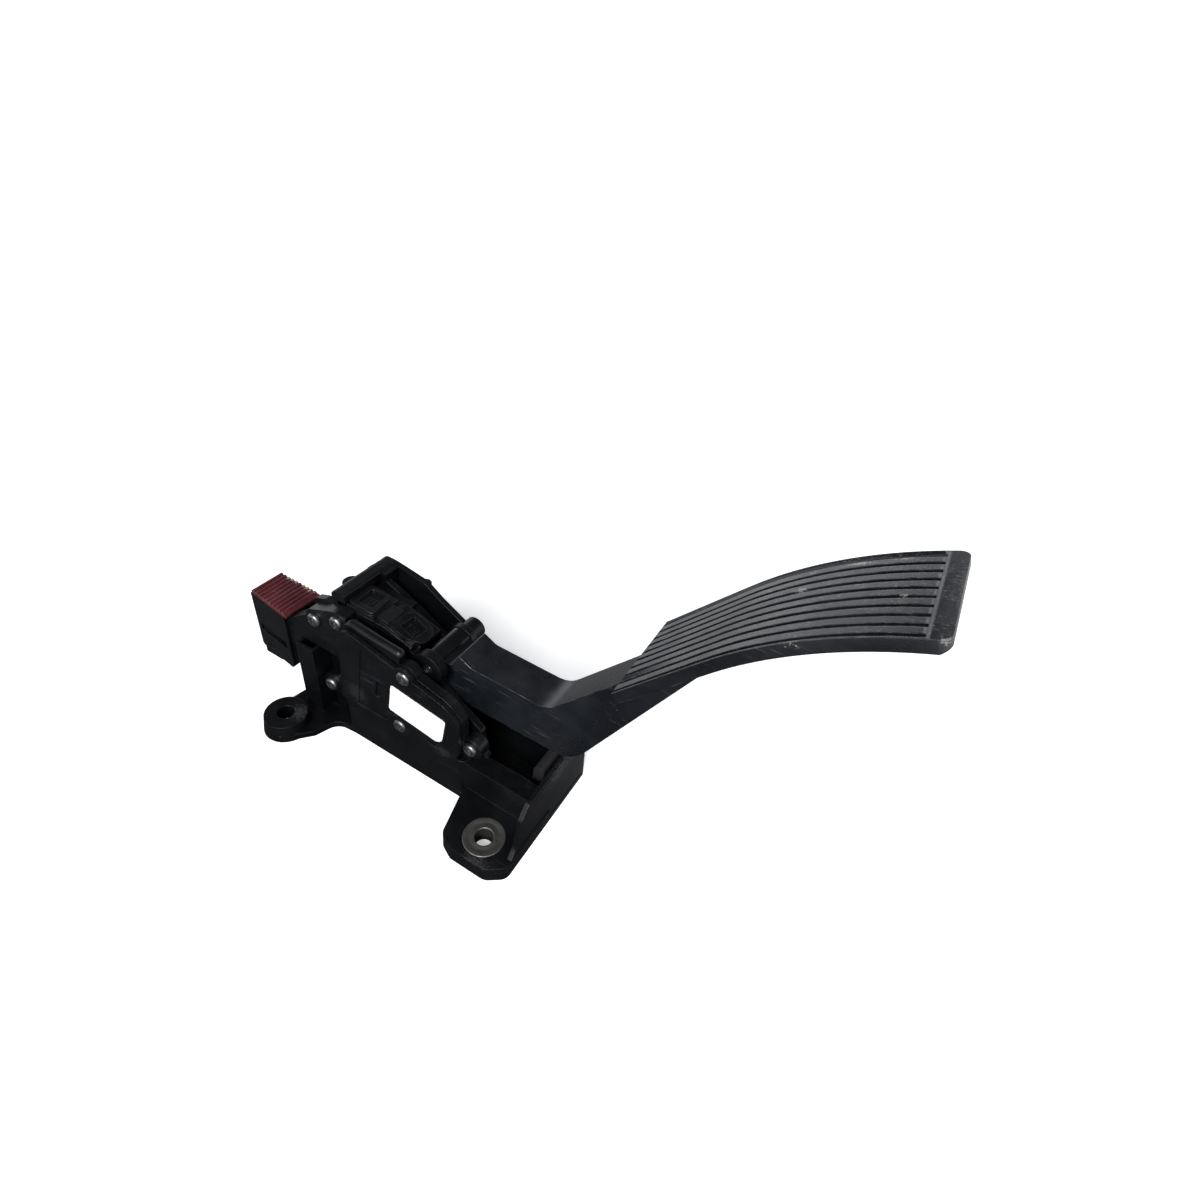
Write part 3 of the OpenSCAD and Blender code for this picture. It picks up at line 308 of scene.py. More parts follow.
def remap(tree, value, low, high, to_low=0.0, to_high=1.0):
    """Carries a range of a value smoothly to another, and holds it beyond the ends."""
    return add_node(tree, "ShaderNodeMapRange",
                    {"Value": value, "From Min": low, "From Max": high,
                     "To Min": to_low, "To Max": to_high},
                    interpolation_type="SMOOTHSTEP").outputs["Result"]


def blend_colour(tree, factor, first, second):
    """Mixes two colours or links, the second by the factor."""
    node = add_node(tree, "ShaderNodeMix", data_type="RGBA")
    for index, value in ((0, factor), (6, first), (7, second)):
        if isinstance(value, bpy.types.NodeSocket):
            tree.links.new(value, node.inputs[index])
        elif index:
            node.inputs[index].default_value = (*value[:3], 1.0)
        else:
            node.inputs[index].default_value = value
    return node.outputs[2]


def shaded(colour, share):
    """A colour made darker or lighter."""
    return tuple(channel * share for channel in colour)


def place_of(tree):
    """Object coordinates, which in this model are metres in the frame."""
    return add_node(tree, "ShaderNodeTexCoord").outputs["Object"]


def from_axis(tree, centre, across):
    """Distance from an axis; across is one in the directions that leave it."""
    offset = vector_node(tree, "SUBTRACT", place_of(tree), centre)
    return vector_node(tree, "LENGTH", vector_node(tree, "MULTIPLY", offset, across))


def facing_up(tree):
    """How far a face looks up: one for a top face, minus one for an underside."""
    face = add_node(tree, "ShaderNodeNewGeometry").outputs["Normal"]
    return add_node(tree, "ShaderNodeSeparateXYZ", {0: face}).outputs[2]


FLOAT, VECTOR = "NodeSocketFloat", "NodeSocketVector"


def make_grain_group():
    """Fine pits of a moulded face, and slow changes of tone across it."""
    tree, source, sink = shader_group(
        "moulded_grain", [("Size", FLOAT, 0.0004)], [("Height", FLOAT), ("Mottle", FLOAT)])
    place = place_of(tree)
    scale = math_node(tree, "DIVIDE", 1.0, source.outputs["Size"])
    pits = noise(tree, place, scale, 2.0, 0.6)
    cells = add_node(tree, "ShaderNodeTexVoronoi",
                     {"Vector": place, "Scale": times(tree, scale, 0.6)}, feature="SMOOTH_F1")
    height = math_node(tree, "ADD", pits, times(tree, cells.outputs["Distance"], 0.6))
    tone = noise(tree, place, 48.0, 5.0, 0.62)
    tree.links.new(height, sink.inputs["Height"])
    tree.links.new(remap(tree, tone, 0.3, 0.7), sink.inputs["Mottle"])
    return tree


def make_edge_group():
    """Rounded edges, and a broken pale mask along them that is both wear from handling and painted
    highlight.
    """
    tree, source, sink = shader_group(
        "soft_edges", [("Radius", FLOAT, 0.0004), ("Gaps", FLOAT, 0.5)],
        [("Normal", VECTOR), ("Mask", FLOAT)])
    bevel = add_node(tree, "ShaderNodeBevel", {"Radius": source.outputs["Radius"]}, samples=6)
    face = add_node(tree, "ShaderNodeNewGeometry")
    along = vector_node(tree, "DOT_PRODUCT", bevel.outputs[0], face.outputs["Normal"])
    bend = remap(tree, along, 0.995, 0.80)
    patchy = noise(tree, place_of(tree), 210.0, 6.0, 0.7)
    left = math_node(tree, "SUBTRACT", patchy, times(tree, source.outputs["Gaps"], 0.9))
    mask = times(tree, bend, remap(tree, left, 0.0, 0.16))
    tree.links.new(bevel.outputs[0], sink.inputs["Normal"])
    tree.links.new(mask, sink.inputs["Mask"])
    return tree


def make_dust_group():
    """Thin dust on faces that look up, gathered in blots and specks."""
    tree, source, sink = shader_group("settled_dust", [("Amount", FLOAT, 0.3)], [("Mask", FLOAT)])
    place = place_of(tree)
    blots = noise(tree, place, 70.0, 8.0, 0.72)
    specks = noise(tree, place, 900.0, 3.0, 0.6)
    film = math_node(tree, "ADD", remap(tree, blots, 0.42, 0.85),
                     remap(tree, specks, 0.66, 0.78))
    facing = math_node(tree, "ADD", remap(tree, facing_up(tree), -0.1, 1.0), 0.15)
    mask = times(tree, times(tree, film, facing), source.outputs["Amount"], clamp=True)
    tree.links.new(mask, sink.inputs["Mask"])
    return tree


def make_painted_shade_group():
    """Painted shade: one on open faces, falling in corners, slots and other narrow places."""
    tree, source, sink = shader_group(
        "painted_narrow_shade", [("Reach", FLOAT, 0.004), ("Depth", FLOAT, 0.7)], [("Mask", FLOAT)])
    shade = add_node(tree, "ShaderNodeAmbientOcclusion",
                     {"Distance": source.outputs["Reach"]}, samples=6)
    open_face = remap(tree, shade.outputs["AO"], 0.3, 0.97)
    closed = math_node(tree, "SUBTRACT", 1.0, open_face)
    mask = math_node(tree, "SUBTRACT", 1.0, times(tree, closed, source.outputs["Depth"]),
                     clamp=True)
    tree.links.new(mask, sink.inputs["Mask"])
    return tree


def make_scratch_group():
    """Thin scratches that run one way, in patches."""
    tree, source, sink = shader_group(
        "fine_scratches", [("Turn", VECTOR, (0.0, 0.0, 0.0)), ("Cut", FLOAT, 0.66)],
        [("Mask", FLOAT)])
    place = place_of(tree)
    along = drawn_out(tree, place, (55.0, 2600.0, 2600.0), source.outputs["Turn"])
    lines = noise(tree, along, 1.0, 1.0)
    patches = noise(tree, place, 60.0, 3.0)
    thin = math_node(tree, "SUBTRACT", lines, source.outputs["Cut"])
    mask = times(tree, remap(tree, thin, 0.0, 0.05), remap(tree, patches, 0.48, 0.62))
    tree.links.new(mask, sink.inputs["Mask"])
    return tree


def make_scuff_group():
    """One scuffed place: a broken pale patch about a centre, longer along one axis."""
    tree, source, sink = shader_group(
        "scuffed_place",
        [("Centre", VECTOR, (0.0, 0.0, 0.0)), ("Reach", VECTOR, (0.01, 0.01, 0.01)),
         ("Grit", FLOAT, 700.0)], [("Mask", FLOAT)])
    place = place_of(tree)
    offset = vector_node(tree, "SUBTRACT", place, source.outputs["Centre"])
    share = vector_node(tree, "DIVIDE", offset, source.outputs["Reach"])
    near = remap(tree, vector_node(tree, "LENGTH", share), 1.0, 0.15)
    grit = noise(tree, place, source.outputs["Grit"], 4.0, 0.7)
    torn = math_node(tree, "ADD", grit, times(tree, near, 0.26))
    mask = times(tree, remap(tree, torn, 0.66, 0.78), remap(tree, near, 0.0, 0.25))
    tree.links.new(mask, sink.inputs["Mask"])
    return tree


MAKERS = {"grain": make_grain_group, "edges": make_edge_group, "dust": make_dust_group,
          "scratches": make_scratch_group, "scuff": make_scuff_group,
          "painted_shade": make_painted_shade_group}
EFFECTS = {}


def effect(tree, name, **values):
    """Places a shared effect in a material with its own values."""
    if name not in EFFECTS:
        EFFECTS[name] = MAKERS[name]()
    node = tree.nodes.new("ShaderNodeGroup")
    node.node_tree = EFFECTS[name]
    for key, value in values.items():
        node.inputs[key.capitalize()].default_value = value
    return node


def new_material(name):
    """An empty material and its node tree."""
    material = bpy.data.materials.new(name)
    material.use_nodes = True
    material.node_tree.nodes.clear()
    return material, material.node_tree


def finish_surface(tree, values):
    """Ends a material in one surface shader with the given inputs."""
    shader = add_node(tree, "ShaderNodeBsdfPrincipled", values)
    add_node(tree, "ShaderNodeOutputMaterial", {"Surface": shader.outputs[0]})


def moulded_plastic(name, colour, roughness, grain=0.00035, grain_depth=0.00003,
                    edge=0.0004, wear_and_highlight_colour=(0.085, 0.088, 0.092), wear_and_highlight=0.5, wear_and_highlight_break=0.62,
                    shine=0.5, painted_shade=0.7, painted_shade_reach=0.004, dust=0.25,
                    dust_colour=(0.07, 0.068, 0.063), scratch=0.3,
                    scratch_turn=(0.0, 0.0, 0.0), scuffs=(), scuff_colour=(0.30, 0.29, 0.27),
                    specks=None, darker_round_pin=None):
    """Moulded plastic with grain, softened edges paled by wear and painted highlight, dust,
    scratches, scuffs, and painted shade in narrow places.
    """
    material, tree = new_material(name)
    skin = effect(tree, "grain", size=grain)
    edges = effect(tree, "edges", radius=edge, gaps=wear_and_highlight_break)
    film = effect(tree, "dust", amount=dust)
    lines = effect(tree, "scratches", turn=scratch_turn)
    tone = blend_colour(tree, skin.outputs["Mottle"], shaded(colour, 0.78), shaded(colour, 1.3))
    tone = blend_colour(tree, times(tree, film.outputs["Mask"], 0.5), tone, dust_colour)
    tone = blend_colour(tree, times(tree, lines.outputs["Mask"], scratch), tone, wear_and_highlight_colour)
    # Pale edges: rubbed wear and painted highlight along them
    tone = blend_colour(tree, times(tree, edges.outputs["Mask"], wear_and_highlight), tone, wear_and_highlight_colour)
    if specks:
        strength, start, full = specks
        along = add_node(tree, "ShaderNodeSeparateXYZ", {0: place_of(tree)}).outputs[0]
        mask = times(tree, gritty(tree), remap(tree, along, start, full))
        mask = times(tree, mask, remap(tree, facing_up(tree), 0.3, 0.75))
        tone = blend_colour(tree, times(tree, mask, strength), tone, scuff_colour)
    for centre, reach, grit, strength in scuffs:
        patch = effect(tree, "scuff", centre=centre, reach=reach, grit=grit)
        tone = blend_colour(tree, times(tree, patch.outputs["Mask"], strength), tone,
                            scuff_colour)
    dull = remap(tree, skin.outputs["Mottle"], 0.0, 1.0, roughness - 0.05, roughness + 0.07)
    dull = math_node(tree, "ADD", dull, times(tree, film.outputs["Mask"], 0.25), clamp=True)
    bump = add_node(tree, "ShaderNodeBump",
                    {"Strength": 0.5, "Distance": grain_depth, "Height": skin.outputs["Height"],
                     "Normal": edges.outputs["Normal"]})
    # Painted shade: corners, slots and narrow places darkened towards a quarter of the colour
    painted_shade_node = effect(tree, "painted_shade", depth=painted_shade, reach=painted_shade_reach)
    tone = blend_colour(tree, painted_shade_node.outputs["Mask"], shaded(colour, 0.25), tone)
    # Darker and glossier round the pedal's pin
    if darker_round_pin:
        axis, full, none = darker_round_pin
        pin_nearness = remap(tree, from_axis(tree, axis, ACROSS_Y), none, full)
        tone = blend_colour(tree, pin_nearness, tone, shaded(colour, 0.2))
        dull = math_node(tree, "SUBTRACT", dull, times(tree, pin_nearness, 0.12))
    finish_surface(tree, {"Base Color": tone, "Roughness": dull, "Specular IOR Level": shine,
                          "Normal": bump.outputs[0]})
    return material


def gritty(tree):
    """Fine grit, drawn out a little along X and gathered in loose patches."""
    place = place_of(tree)
    grit = noise(tree, drawn_out(tree, place, (620.0, 1600.0, 800.0)), 1.0, 3.0, 0.7)
    patches = noise(tree, place, 75.0, 3.0)
    return times(tree, remap(tree, grit, 0.54, 0.68), remap(tree, patches, 0.3, 0.6))


def shared_finish(look):
    """What the bracket's and the sensor's plastics have in common."""
    return dict(edge=look.edge_radius, wear_and_highlight_colour=tuple(look.edge_wear_and_highlight_colour),
                dust_colour=tuple(look.dust_colour), grain=look.grain)


def worked_metal(name, colour, roughness, axis=None, ring=0.00025, edge=0.00015, tarnish=0.3,
                 brush=(900.0, 900.0, 900.0)):
    """Metal with tarnish and fine tool marks, turned about an axis or brushed one way."""
    material, tree = new_material(name)
    place = place_of(tree)
    edges = effect(tree, "edges", radius=edge)
    blots = noise(tree, place, 320.0, 6.0, 0.65)
    dirt = remap(tree, blots, 0.38, 0.72)
    if axis is not None:
        turned = times(tree, from_axis(tree, *axis), 1.0 / ring)
        marks = add_node(tree, "ShaderNodeTexNoise", {"W": turned, "Scale": 1.0, "Detail": 2.0},
                         noise_dimensions="1D").outputs[0]
    else:
        marks = noise(tree, drawn_out(tree, place, brush), 1.0, 3.0)
    tone = blend_colour(tree, times(tree, dirt, tarnish), colour, shaded(colour, 0.45))
    tone = blend_colour(tree, times(tree, marks, 0.25), tone, shaded(colour, 0.7))
    dull = remap(tree, blots, 0.3, 0.75, roughness - 0.06, roughness + 0.16)
    bump = add_node(tree, "ShaderNodeBump",
                    {"Strength": 0.4, "Distance": 0.00002, "Height": marks,
                     "Normal": edges.outputs["Normal"]})
    finish_surface(tree, {"Base Color": tone, "Roughness": dull, "Metallic": 1.0,
                          "Normal": bump.outputs[0]})
    return material


def dress(node, material):
    """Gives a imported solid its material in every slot."""
    mesh = NODES[node].data
    if not mesh.materials:
        mesh.materials.append(material)
    for slot in NODES[node].material_slots:
        slot.link = "OBJECT"
        slot.material = material


# Mesh pieces

def merged_form(node, distance=1e-6):
    """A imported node's faces with their doubled corners merged."""
    form = bmesh.new()
    form.from_mesh(NODES[node].data)
    bmesh.ops.remove_doubles(form, verts=form.verts, dist=distance)
    return form


def islands(node):
    """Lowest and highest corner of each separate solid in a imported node."""
    form = merged_form(node)
    left, boxes = set(form.verts), []
    while left:
        reach = [left.pop()]
        found = list(reach)
        while reach:
            for edge in reach.pop().link_edges:
                for vert in edge.verts:
                    if vert in left:
                        left.remove(vert)
                        reach.append(vert)
                        found.append(vert)
        boxes.append((Vector([min(v.co[i] for v in found) for i in range(3)]),
                      Vector([max(v.co[i] for v in found) for i in range(3)])))
    form.free()
    return sorted(boxes, key=lambda box: tuple(box[0]))


def new_piece(name, form, material, body, node, smooth=35.0):
    """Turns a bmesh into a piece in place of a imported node; it rides a body, if one is given."""
    mesh = bpy.data.meshes.new(name)
    form.to_mesh(mesh)
    form.free()
    mesh.shade_smooth()
    mesh.set_sharp_from_angle(angle=math.radians(smooth))
    piece = bpy.data.objects.new(name, mesh)
    bpy.context.scene.collection.objects.link(piece)
    mesh.materials.append(material)
    if body:
        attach(piece, body)
    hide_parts(node)
    return piece


def spin_profile(form, profile, axis, steps):
    """Spins a profile of (radius, height) fully round +Y or +Z and returns its vertices."""
    before = set(form.verts)
    if axis == "Y":
        verts = [form.verts.new((r, h, 0.0)) for r, h in profile]
    else:
        verts = [form.verts.new((r, 0.0, h)) for r, h in profile]
    edges = [form.edges.new(pair) for pair in zip(verts, verts[1:])]
    turn = Vector((0.0, 1.0, 0.0)) if axis == "Y" else Vector((0.0, 0.0, 1.0))
    bmesh.ops.spin(form, geom=verts + edges, cent=(0.0, 0.0, 0.0), axis=turn,
                   angle=2.0 * math.pi, steps=steps, use_merge=True)
    fresh = [v for v in form.verts if v not in before]
    bmesh.ops.remove_doubles(form, verts=fresh, dist=1e-7)
    return [v for v in form.verts if v not in before]


def screw_form(form, box, size):
    """One pan-head screw with a six-lobed recess, its axis along +Y and its head at -Y."""
    low, high = box
    head = (high.x - low.x) / 2.0
    deep = size.head_height
    length = high.y - low.y
    core = size.shank_radius * 0.8
    tip = 0.0006
    profile = [(size.recess_radius, 0.00004), (head * 0.62, 0.00008), (head * 0.80, deep * 0.10),
               (head * 0.92, deep * 0.26), (head * 0.985, deep * 0.48), (head, deep * 0.66),
               (head, deep * 0.94), (head * 0.97, deep), (size.shank_radius, deep)]
    height = deep
    while height + size.thread_pitch < length - tip - 0.0002:
        profile += [(core, height + size.thread_pitch * 0.35),
                    (size.shank_radius, height + size.thread_pitch * 0.85)]
        height += size.thread_pitch
    profile += [(core, length - tip), (core * 0.7, length), (0.0, length)]
    fresh = spin_profile(form, profile, "Y", size.steps)
    rim = [v for v in fresh if math.hypot(v.co.x, v.co.z) < size.recess_radius * 1.05
           and v.co.y < deep * 0.5]
    lobes, swell = 6.0, 0.17
    for vert in rim:
        angle = math.atan2(vert.co.z, vert.co.x)
        wave = 1.0 + swell * math.cos(lobes * angle)
        vert.co.x *= wave
        vert.co.z *= wave
    loop = [e for e in {e for v in rim for e in v.link_edges} if e.is_boundary]
    wall = bmesh.ops.extrude_edge_only(form, edges=loop)["geom"]
    floor = [g for g in wall if isinstance(g, bmesh.types.BMVert)]
    bmesh.ops.translate(form, verts=floor, vec=(0.0, size.recess_depth, 0.0))
    bmesh.ops.scale(form, verts=floor, vec=(0.9, 1.0, 0.9))
    open_edges = {e for v in floor for e in v.link_edges if e.is_boundary}
    bmesh.ops.holes_fill(form, edges=list(open_edges), sides=size.steps * 2)
    whole = fresh + floor
    bmesh.ops.translate(form, verts=whole,
                        vec=((low.x + high.x) / 2.0, low.y, (low.z + high.z) / 2.0))


def eased_copy(name, node, width, material, body, segments=2):
    """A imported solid's copy, merged, cleaned and given rounded edges."""
    form = merged_form(node, 2e-6)
    bmesh.ops.dissolve_limit(form, angle_limit=math.radians(1.0), verts=form.verts,
                             edges=form.edges)
    bmesh.ops.recalc_face_normals(form, faces=form.faces)
    sharp = [e for e in form.edges
             if len(e.link_faces) == 2 and e.calc_face_angle(0.0) > math.radians(40.0)]
    bmesh.ops.bevel(form, geom=sharp, offset=width, offset_type="OFFSET", affect="EDGES",
                    segments=segments, profile=0.5, material=-1, clamp_overlap=True)
    bmesh.ops.recalc_face_normals(form, faces=form.faces)
    return new_piece(name, form, material, body, node, smooth=50.0)


def cut_corners(form, tip, way, low, high, radius):
    """Rounds both corners of the pad's tip with tangent cuts through its whole depth."""
    for side, edge in ((-1.0, low.y), (1.0, high.y)):
        centre = tip - way * radius
        centre.y = edge - side * radius
        for step in range(1, 6):
            angle = math.radians(15.0 * step)
            out = math.cos(angle) * way + math.sin(angle) * side * Vector((0.0, 1.0, 0.0))
            cut = bmesh.ops.bisect_plane(
                form, geom=form.verts[:] + form.edges[:] + form.faces[:], dist=1e-7,
                plane_co=centre + radius * out, plane_no=out, clear_outer=True)
            loop = [g for g in cut["geom_cut"] if isinstance(g, bmesh.types.BMEdge)]
            bmesh.ops.holes_fill(form, edges=loop, sides=0)


def is_tread(face):
    """Whether a face lies in the pad's tread, which looks up and back to the plug socket."""
    return face.normal.z > 0.55 and face.normal.x < -0.3 and abs(face.normal.y) < 0.1


def eased_pad(name, material, size):
    """The arm and pad with the pad's corners rounded and the rim of its face rolled."""
    form = merged_form("pedal_arm", 2e-6)
    bmesh.ops.dissolve_limit(form, angle_limit=math.radians(0.2), verts=form.verts,
                             edges=form.edges)
    bmesh.ops.recalc_face_normals(form, faces=form.faces)
    low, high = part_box("pedal_arm")
    uphill = Vector((0.92, 0.0, 0.39))
    end = max(form.faces, key=lambda face: face.calc_center_median().dot(uphill))
    tip, way = end.calc_center_median(), end.normal.copy()
    cut_corners(form, tip, way, low, high, size.corner)
    bmesh.ops.recalc_face_normals(form, faces=form.faces)
    slack = 0.0003
    near, rest = [], []
    for edge in form.edges:
        if len(edge.link_faces) != 2:
            continue
        top, wall = sorted(edge.link_faces, key=lambda face: face.normal.x)
        if not is_tread(top) or max(abs(wall.normal.y), wall.normal.dot(way)) < 0.3:
            continue
        middle = (edge.verts[0].co + edge.verts[1].co) / 2.0
        if (tip - middle).dot(way) < size.corner * 1.1 or high.y - middle.y < slack:
            rest.append(edge)
        elif middle.y - low.y < slack:
            near.append(edge)
    for edges, width in ((near, size.near_rim), (rest, size.rim)):
        bmesh.ops.bevel(form, geom=[e for e in edges if e.is_valid], offset=width,
                        offset_type="OFFSET", affect="EDGES", segments=4, profile=0.5,
                        material=-1, clamp_overlap=True)
    bmesh.ops.recalc_face_normals(form, faces=form.faces)
    return new_piece(name, form, material, "pedal", "pedal_arm", smooth=38.0)


def pressed_spring(name, node, material):
    """A spring's merged copy, left where it stands with its placement baked into its mesh."""
    form = merged_form(node)
    bmesh.ops.recalc_face_normals(form, faces=form.faces)
    piece = new_piece(name, form, material, None, node, smooth=50.0)
    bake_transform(piece)
    return piece


def pin_centre():
    """Where the pedal's pin crosses the plane Y = 0."""
    low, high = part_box("pivot_pin")
    return ((low.x + high.x) / 2.0, 0.0, (low.z + high.z) / 2.0)


# Operators

class PEDAL_OT_camera(bpy.types.Operator):
    """Stands the camera where the photograph was taken"""
    bl_idname = "pedal.camera"
    bl_label = "Camera"

    def execute(self, context):
        setup = context.scene.pedal_studio
        a, e, r = setup.azimuth, setup.elevation, setup.roll
        right = Vector((math.cos(a), math.sin(a), 0.0))
        back = Vector((math.sin(a) * math.cos(e), -math.cos(a) * math.cos(e), math.sin(e)))
        up = back.cross(right)
        across = math.cos(r) * right + math.sin(r) * up
        upward = -math.sin(r) * right + math.cos(r) * up
        data = bpy.data.cameras.new("view")
        data.sensor_width = 36.0
        data.lens = setup.lens
        data.clip_start = 0.01
        data.clip_end = 40.0
        camera = bpy.data.objects.new("view", data)
        turn = Matrix((across, upward, back)).transposed().to_4x4()
        camera.matrix_world = Matrix.Translation(setup.place) @ turn
        context.scene.collection.objects.link(camera)
        context.scene.camera = camera
        return {"FINISHED"}


class PEDAL_OT_stage(bpy.types.Operator):
    """Lays the pale floor and sets the key light and the surround"""
    bl_idname = "pedal.stage"
    bl_label = "Stage"

    def execute(self, context):
        setup = context.scene.pedal_studio
        form = bmesh.new()
        bmesh.ops.create_grid(form, x_segments=8, y_segments=8, size=9.0)
        mesh = bpy.data.meshes.new("studio_floor")
        form.to_mesh(mesh)
        form.free()
        floor = bpy.data.objects.new("studio_floor", mesh)
        context.scene.collection.objects.link(floor)
        material, tree = new_material("studio_floor")
        place = place_of(tree)
        pale = tuple(setup.floor_colour)
        tone = blend_colour(tree, noise(tree, place, 3.0, 2.0), pale, shaded(pale, 0.99))
        behind = add_node(tree, "ShaderNodeSeparateXYZ", {0: place}).outputs[1]
        near = blend_colour(tree, remap(tree, behind, *MIRROR_TURNS),
                            tuple(setup.floor_mirrored), tuple(setup.floor_behind))
        reach = vector_node(tree, "LENGTH", place)
        mirrored = blend_colour(tree, remap(tree, reach, *MIRROR_PALES), near, pale)
        path = add_node(tree, "ShaderNodeLightPath")
        tone = blend_colour(tree, path.outputs["Is Glossy Ray"], tone, mirrored)
        glow = math_node(tree, "MULTIPLY", path.outputs["Is Camera Ray"], setup.floor_glow)
        finish_surface(tree, {"Base Color": tone, "Roughness": 0.9, "Specular IOR Level": 0.1,
                              "Emission Color": (1.0, 1.0, 1.0, 1.0), "Emission Strength": glow})
        mesh.materials.append(material)
        self.key(context, setup)
        self.surround(context, setup)
        return {"FINISHED"}

    def key(self, context, setup):
        """Hangs the broad light in front of the part."""
        data = bpy.data.lights.new("key", "SUN")
        data.energy = setup.key_power
        data.angle = setup.key_spread
        lamp = bpy.data.objects.new("key", data)
        turn = Vector(setup.key_way).to_track_quat("Z", "Y").to_matrix().to_4x4()
        lamp.matrix_world = Matrix.Translation((0.5, -1.0, 1.2)) @ turn
        context.scene.collection.objects.link(lamp)

    def surround(self, context, setup):
        """Lights the part from a bright horizon under a dark dome."""
        world = bpy.data.worlds.new("surround")
        world.use_nodes = True
        tree = world.node_tree
        tree.nodes.clear()
        way = add_node(tree, "ShaderNodeSeparateXYZ",
                       {0: add_node(tree, "ShaderNodeTexCoord").outputs["Generated"]})
        height = remap(tree, way.outputs[2], *DOME_STARTS)
        tone = blend_colour(tree, height, tuple(setup.horizon_colour), tuple(setup.dome_colour))
        light = add_node(tree, "ShaderNodeBackground", {"Color": tone, "Strength": 1.0})
        add_node(tree, "ShaderNodeOutputWorld", {"Surface": light.outputs[0]})
        context.scene.world = world
        context.scene.view_settings.view_transform = "Standard"
        context.scene.view_settings.look = "None"


class PEDAL_OT_bracket(bpy.types.Operator):
    """Finishes the black bracket and the lid over its spring chamber"""
    bl_idname = "pedal.bracket"
    bl_label = "Bracket and lid"

    def execute(self, context):
        look = context.scene.pedal_plastic
        shared = shared_finish(look)
        bracket = moulded_plastic(
            "bracket_plastic", tuple(look.bracket_colour), look.roughness, wear_and_highlight=0.35, dust=0.1,
            shine=0.3, scratch=0.2, scuff_colour=(0.11, 0.11, 0.11), scuffs=BRACKET_SCUFFS,
            **shared)
        dress("base_bracket", bracket)
        # The lid's pale edges are partly painted highlight, and its narrow places carry deep
        # painted shade
        lid = moulded_plastic(
            "lid_plastic", tuple(look.bracket_colour), look.roughness - 0.03, wear_and_highlight=0.65, dust=0.15,
            wear_and_highlight_break=0.5, shine=0.45, painted_shade=0.9, scratch=0.2, scratch_turn=(0.0, 0.0, 1.2),
            **shared)
        dress("spring_cover", lid)
        return {"FINISHED"}


class PEDAL_OT_sensor(bpy.types.Operator):
    """Finishes the sensor's housing, cover, gasket and blank label"""
    bl_idname = "pedal.sensor"
    bl_label = "Sensor housing"

    def execute(self, context):
        look = context.scene.pedal_plastic
        shared = shared_finish(look)
        housing = moulded_plastic(
            "housing_plastic", tuple(look.housing_colour), look.roughness - 0.02, wear_and_highlight=0.4,
            shine=0.4, dust=0.12, scratch=0.25, scratch_turn=(0.0, 0.6, 0.0), **shared)
        dress("sensor_housing", housing)
        cover = moulded_plastic(
            "cover_plastic", tuple(look.housing_colour), look.roughness + 0.04, wear_and_highlight=0.45,
            shine=0.3, dust=0.12, scratch=0.5, scratch_turn=(0.0, 0.9, 0.0),
            scuff_colour=(0.12, 0.12, 0.125), scuffs=COVER_SCUFFS, **shared)
        dress("sensor_cover", cover)
        seal = moulded_plastic("gasket_rubber", (0.006, 0.006, 0.006), 0.75, wear_and_highlight=0.1, dust=0.1,
                               scratch=0.0)
        dress("cover_gasket", seal)
        self.label()
        return {"FINISHED"}

    def label(self):
        """Makes the blank label's smudged and specked film."""
        material, tree = new_material("label_film")
        place = place_of(tree)
        edges = effect(tree, "edges", radius=0.0003)
        smudge = noise(tree, place, 130.0, 7.0, 0.6)
        speck = noise(tree, place, 1500.0, 2.0)
        tone = blend_colour(tree, remap(tree, smudge, 0.45, 0.8), (0.74, 0.74, 0.73),
                            (0.66, 0.655, 0.64))
        tone = blend_colour(tree, times(tree, edges.outputs["Mask"], 0.5), tone,
                            (0.35, 0.35, 0.34))
        tone = blend_colour(tree, remap(tree, speck, 0.70, 0.76), tone, (0.42, 0.41, 0.39))
        dull = remap(tree, smudge, 0.3, 0.7, 0.34, 0.55)
        wrinkle = add_node(tree, "ShaderNodeBump",
                           {"Strength": 0.25, "Distance": 0.0001, "Height": smudge,
                            "Normal": edges.outputs["Normal"]})
        finish_surface(tree, {"Base Color": tone, "Roughness": dull,
                              "Normal": wrinkle.outputs[0]})
        dress("label", material)


class PEDAL_OT_socket(bpy.types.Operator):
    """Makes the red lock with rounded grip ribs and finishes the contact pins"""
    bl_idname = "pedal.socket"
    bl_label = "Plug socket lock"

    def execute(self, context):
        look = context.scene.pedal_plastic
        low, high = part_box("connector_lock")
        red = moulded_plastic(
            "lock_plastic", tuple(look.lock_colour), 0.5, grain=0.0003, edge=0.0003,
            wear_and_highlight_colour=(0.36, 0.17, 0.15), wear_and_highlight=0.7, wear_and_highlight_break=0.45, dust=0.2, scratch=0.2,
            dust_colour=(0.25, 0.16, 0.15), scuff_colour=(0.62, 0.42, 0.34),
            # Pale patches along the far top edge of the grip ribs
            scuffs=[((low.x + 0.010, high.y, high.z), (0.014, 0.0045, 0.0016), 500.0, 0.8),
                    ((high.x - 0.008, high.y, high.z), (0.012, 0.0045, 0.0016), 500.0, 0.7)])
        eased_copy("socket_lock", "connector_lock", 0.00018, red, "lock")
        pins = worked_metal("contact_plating", (0.70, 0.55, 0.28), 0.3, tarnish=0.2)
        dress("contact_pins", pins)
        return {"FINISHED"}


